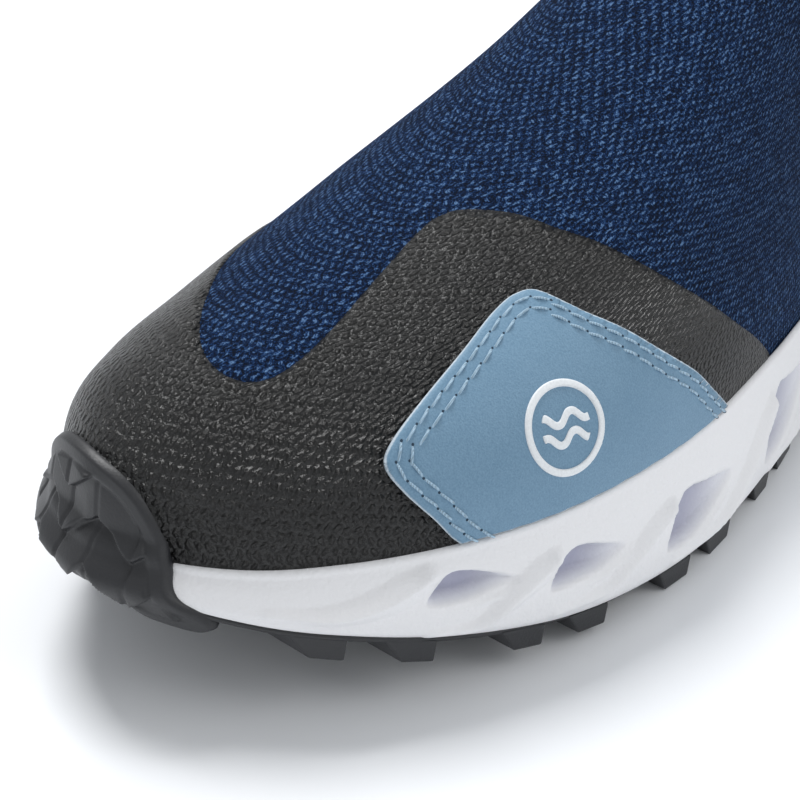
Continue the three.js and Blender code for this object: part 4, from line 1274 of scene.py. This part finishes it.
def lug_row(bm, y0, y1, share):
    """A lug along each edge of the sole, with one between them where there is room."""
    edge = lambda y: sole_half(y) - 0.3 - 0.7 * smooth(30, 60, y)
    inner = max(4, float(edge((y0 + y1) / 2)) * share)
    lug(bm, y0, y1, lambda y: centre(y) + inner, lambda y: centre(y) + edge(y))
    lug(bm, y0, y1, lambda y: centre(y) - edge(y), lambda y: centre(y) - inner)
    if inner > 14:
        lug(bm, y0 + 2, y1 + 1, lambda y: centre(y) - inner * 0.62, lambda y: centre(y) + inner * 0.62)


lugs = bmesh.new()
for number, (y0, y1) in enumerate(LUG_ROWS):
    lug_row(lugs, y0, y1, 0.52 if number % 2 else 0.62)
bmesh.ops.recalc_face_normals(lugs, faces=lugs.faces)
lug_mesh = bpy.data.meshes.new("outsole_lugs")
lugs.to_mesh(lug_mesh)
lugs.free()
lug_object = bpy.data.objects.new("outsole_lugs", lug_mesh)
bpy.context.scene.collection.objects.link(lug_object)
dress(lug_object, "boot", "rubber", RUBBER_FINISH, replaces=["outsole"])
print("lugs", len(lug_mesh.polygons), "faces")

# %% [markdown]
# ## The toe bumper
# The outsole's rubber climbs the toe tip as a shield with a raised border and overlapping zig-zag
# steps, which take the knocks. Seen from the front it is a height field, so we look for the front of
# the boot at each point of a fine grid, cut the shield's outline and add the relief.

# %% Bumper
BUMPER, GRID = 2.2, 0.27
SHIELD = [
    (-36.5, 24), (-34.5, 28), (-30.5, 34), (-25.5, 40), (-20, 43.6), (-12, 44.8), (-4.5, 43.2), (0.5, 39.5),
    (4.5, 32.5), (7.5, 26), (13, 20), (9, 17.6), (-2, 19.6), (-14, 22), (-27, 22.6)]


def in_toe(x, y, z):
    """True inside the toe cap, the foam and the wrapped front lug taken together."""
    above = z - spring(y)
    share = np.clip((above - LUG) / np.maximum(rim(y) - spring(y) - LUG, 1), 0, 1)
    reach = sole_half(y, foam_inset(share) - 1.2)
    lower = (np.abs(x - centre(y)) < reach) & (above > 0.6 + 2.6 * smooth(3, -5, x)) & (z < rim(y) + 2.5)
    return lower | (field(np.stack([x, y, z], -1)) < BUMPER)


grid_x, grid_z = np.meshgrid(np.arange(-38, 15, GRID), np.arange(15.5, 47, GRID))
front = np.full(grid_x.shape, 34.0)
for y in np.arange(34, -8, -0.2):
    front = np.where(in_toe(grid_x, np.full(grid_x.shape, y), grid_z), y, front)
for _ in range(40):
    near = (np.roll(front, 1, 0) + np.roll(front, -1, 0) + np.roll(front, 1, 1) + np.roll(front, -1, 1)) / 4
    near[0], near[-1], near[:, 0], near[:, -1] = front[0], front[-1], front[:, 0], front[:, -1]
    front = front * 0.4 + near * 0.6
rise_z, rise_x = np.gradient(front, GRID)
normal = np.stack([rise_x, -np.ones(front.shape), rise_z], -1)
normal /= np.linalg.norm(normal, axis=-1, keepdims=True)
flat = np.zeros(front.shape)
layers = [grid_x, front, grid_z, *np.moveaxis(normal, -1, 0), grid_x, grid_z, flat, flat]
data = np.stack(layers, -1).reshape(-1, 10)
shield_path = spline(SHIELD, True, 120)
shield_gap = lambda d: -flat_distance(d[:, 0], d[:, 2], shield_path, True)[0]
shield = clip((data, grid_quads(*front.shape)), shield_gap)


def relief(d):
    """Border rib and zig-zag steps of the shield, in mm."""
    f = shield_gap(d)
    border = smooth(0.3, 1.1, f) * (1 - smooth(2.6, 3.4, f))
    x, z = d[:, 0], d[:, 2]
    zigzag = np.abs((x + 15) / 15 - np.round((x + 15) / 15)) * 2
    step = ((36.5 - z + 5.5 * zigzag) / 7.5) % 1
    shingle = step * smooth(1.0, 0.93, step) * smooth(2.8, 3.4, f)
    crease = smooth(0.09, 0.0, np.minimum(zigzag, 1 - zigzag)) * smooth(2.8, 3.4, f)
    return 0.5 * border + 1.35 * shingle - 0.3 * crease


bumper = thicken("toe_bumper", shield, rolled_edge(shield_gap(shield[0]), relief(shield[0]), -1.0, 0.9), -2.2)
point_out(bumper)
dress(bumper, "boot", "rubber", RUBBER_FINISH, replaces=["outsole"])

# %% [markdown]
# ## Inner parts that stay as modelled
# The sockliner, board, shank and stiffeners already have their true shape in the engineering model.
# They only need their finishes.

# %% Finishes for the inner parts
SOCK = plain("knit-faced sockliner", "#272f3b", "#2a3340", 0.85, 0.7, 0.1)
BOARD = plain("pressed cellulose board", "#9d8d72", "#a8977a", 0.85, 0.8, 0.08)
STIFFENER = plain("thermoformed stiffener", "#46484c", "#4b4d52", 0.6, 0.6, 0.04)
INNER = {"sockliner": SOCK, "insole_board": BOARD, "shank": STIFFENER, "toe_puff": STIFFENER,
         "heel_counter": STIFFENER}
for node, material in INNER.items():
    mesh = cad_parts[node].data
    mesh.materials.clear()
    mesh.materials.append(material)

# %% [markdown]
# ## Floor, light and camera
# A pale sweep, one big soft light high over the boot's inner side and a weak one beside its outer
# side, so that the film shines and the foam stays bright. The camera stands low in front of the toe.

# %% Floor
bpy.ops.mesh.primitive_plane_add(size=8, location=(0, 0, 0))
floor = bpy.context.object
floor.name = "floor"
PAPER, paper_tree = finish("pale paper sweep")
paper = {"Base Color": colour("#eff1f4"), "Roughness": 0.9, "Specular IOR Level": 0.1}
add(paper_tree, "ShaderNodeOutputMaterial", [add(paper_tree, "ShaderNodeBsdfPrincipled", paper)])
floor.data.materials.append(PAPER)

# %% Light
world = bpy.data.worlds.new("soft studio")
bpy.context.scene.world = world
world.use_nodes = True
sky = world.node_tree.nodes["Background"]
sky.inputs["Color"].default_value = (0.96, 0.98, 1, 1)
sky.inputs["Strength"].default_value = 0.55
LIGHTS = [("key", (-0.9, 0.3, 2.1), (0, 0, 0.03), 0.85, 44.0),
          ("fill", (0.95, 0.3, 0.9), (0, -0.05, 0.03), 0.7, 3.4)]
for name, spot, aim, size, power in LIGHTS:
    light = bpy.data.lights.new(name, "AREA")
    light.size, light.energy = size, power
    lamp = bpy.data.objects.new(name, light)
    lamp.location = spot
    lamp.rotation_euler = (Vector(aim) - Vector(spot)).to_track_quat("-Z", "Y").to_euler()
    bpy.context.scene.collection.objects.link(lamp)

# %% Camera
lens = bpy.data.cameras.new("camera")
lens.lens, lens.sensor_width, lens.clip_start = 58.36, 36, 0.01
camera = bpy.data.objects.new("camera", lens)
eye, target = Vector(place((138.6, -94.7, 153.7))), Vector(place((-2.56, 71.8, 27.86)))
camera.location = eye
camera.rotation_euler = (target - eye).to_track_quat("-Z", "Y").to_euler()
bpy.context.scene.collection.objects.link(camera)
bpy.context.scene.camera = camera
bpy.context.scene.view_settings.view_transform = "Standard"

# %% Update the scene
bpy.context.view_layer.update()
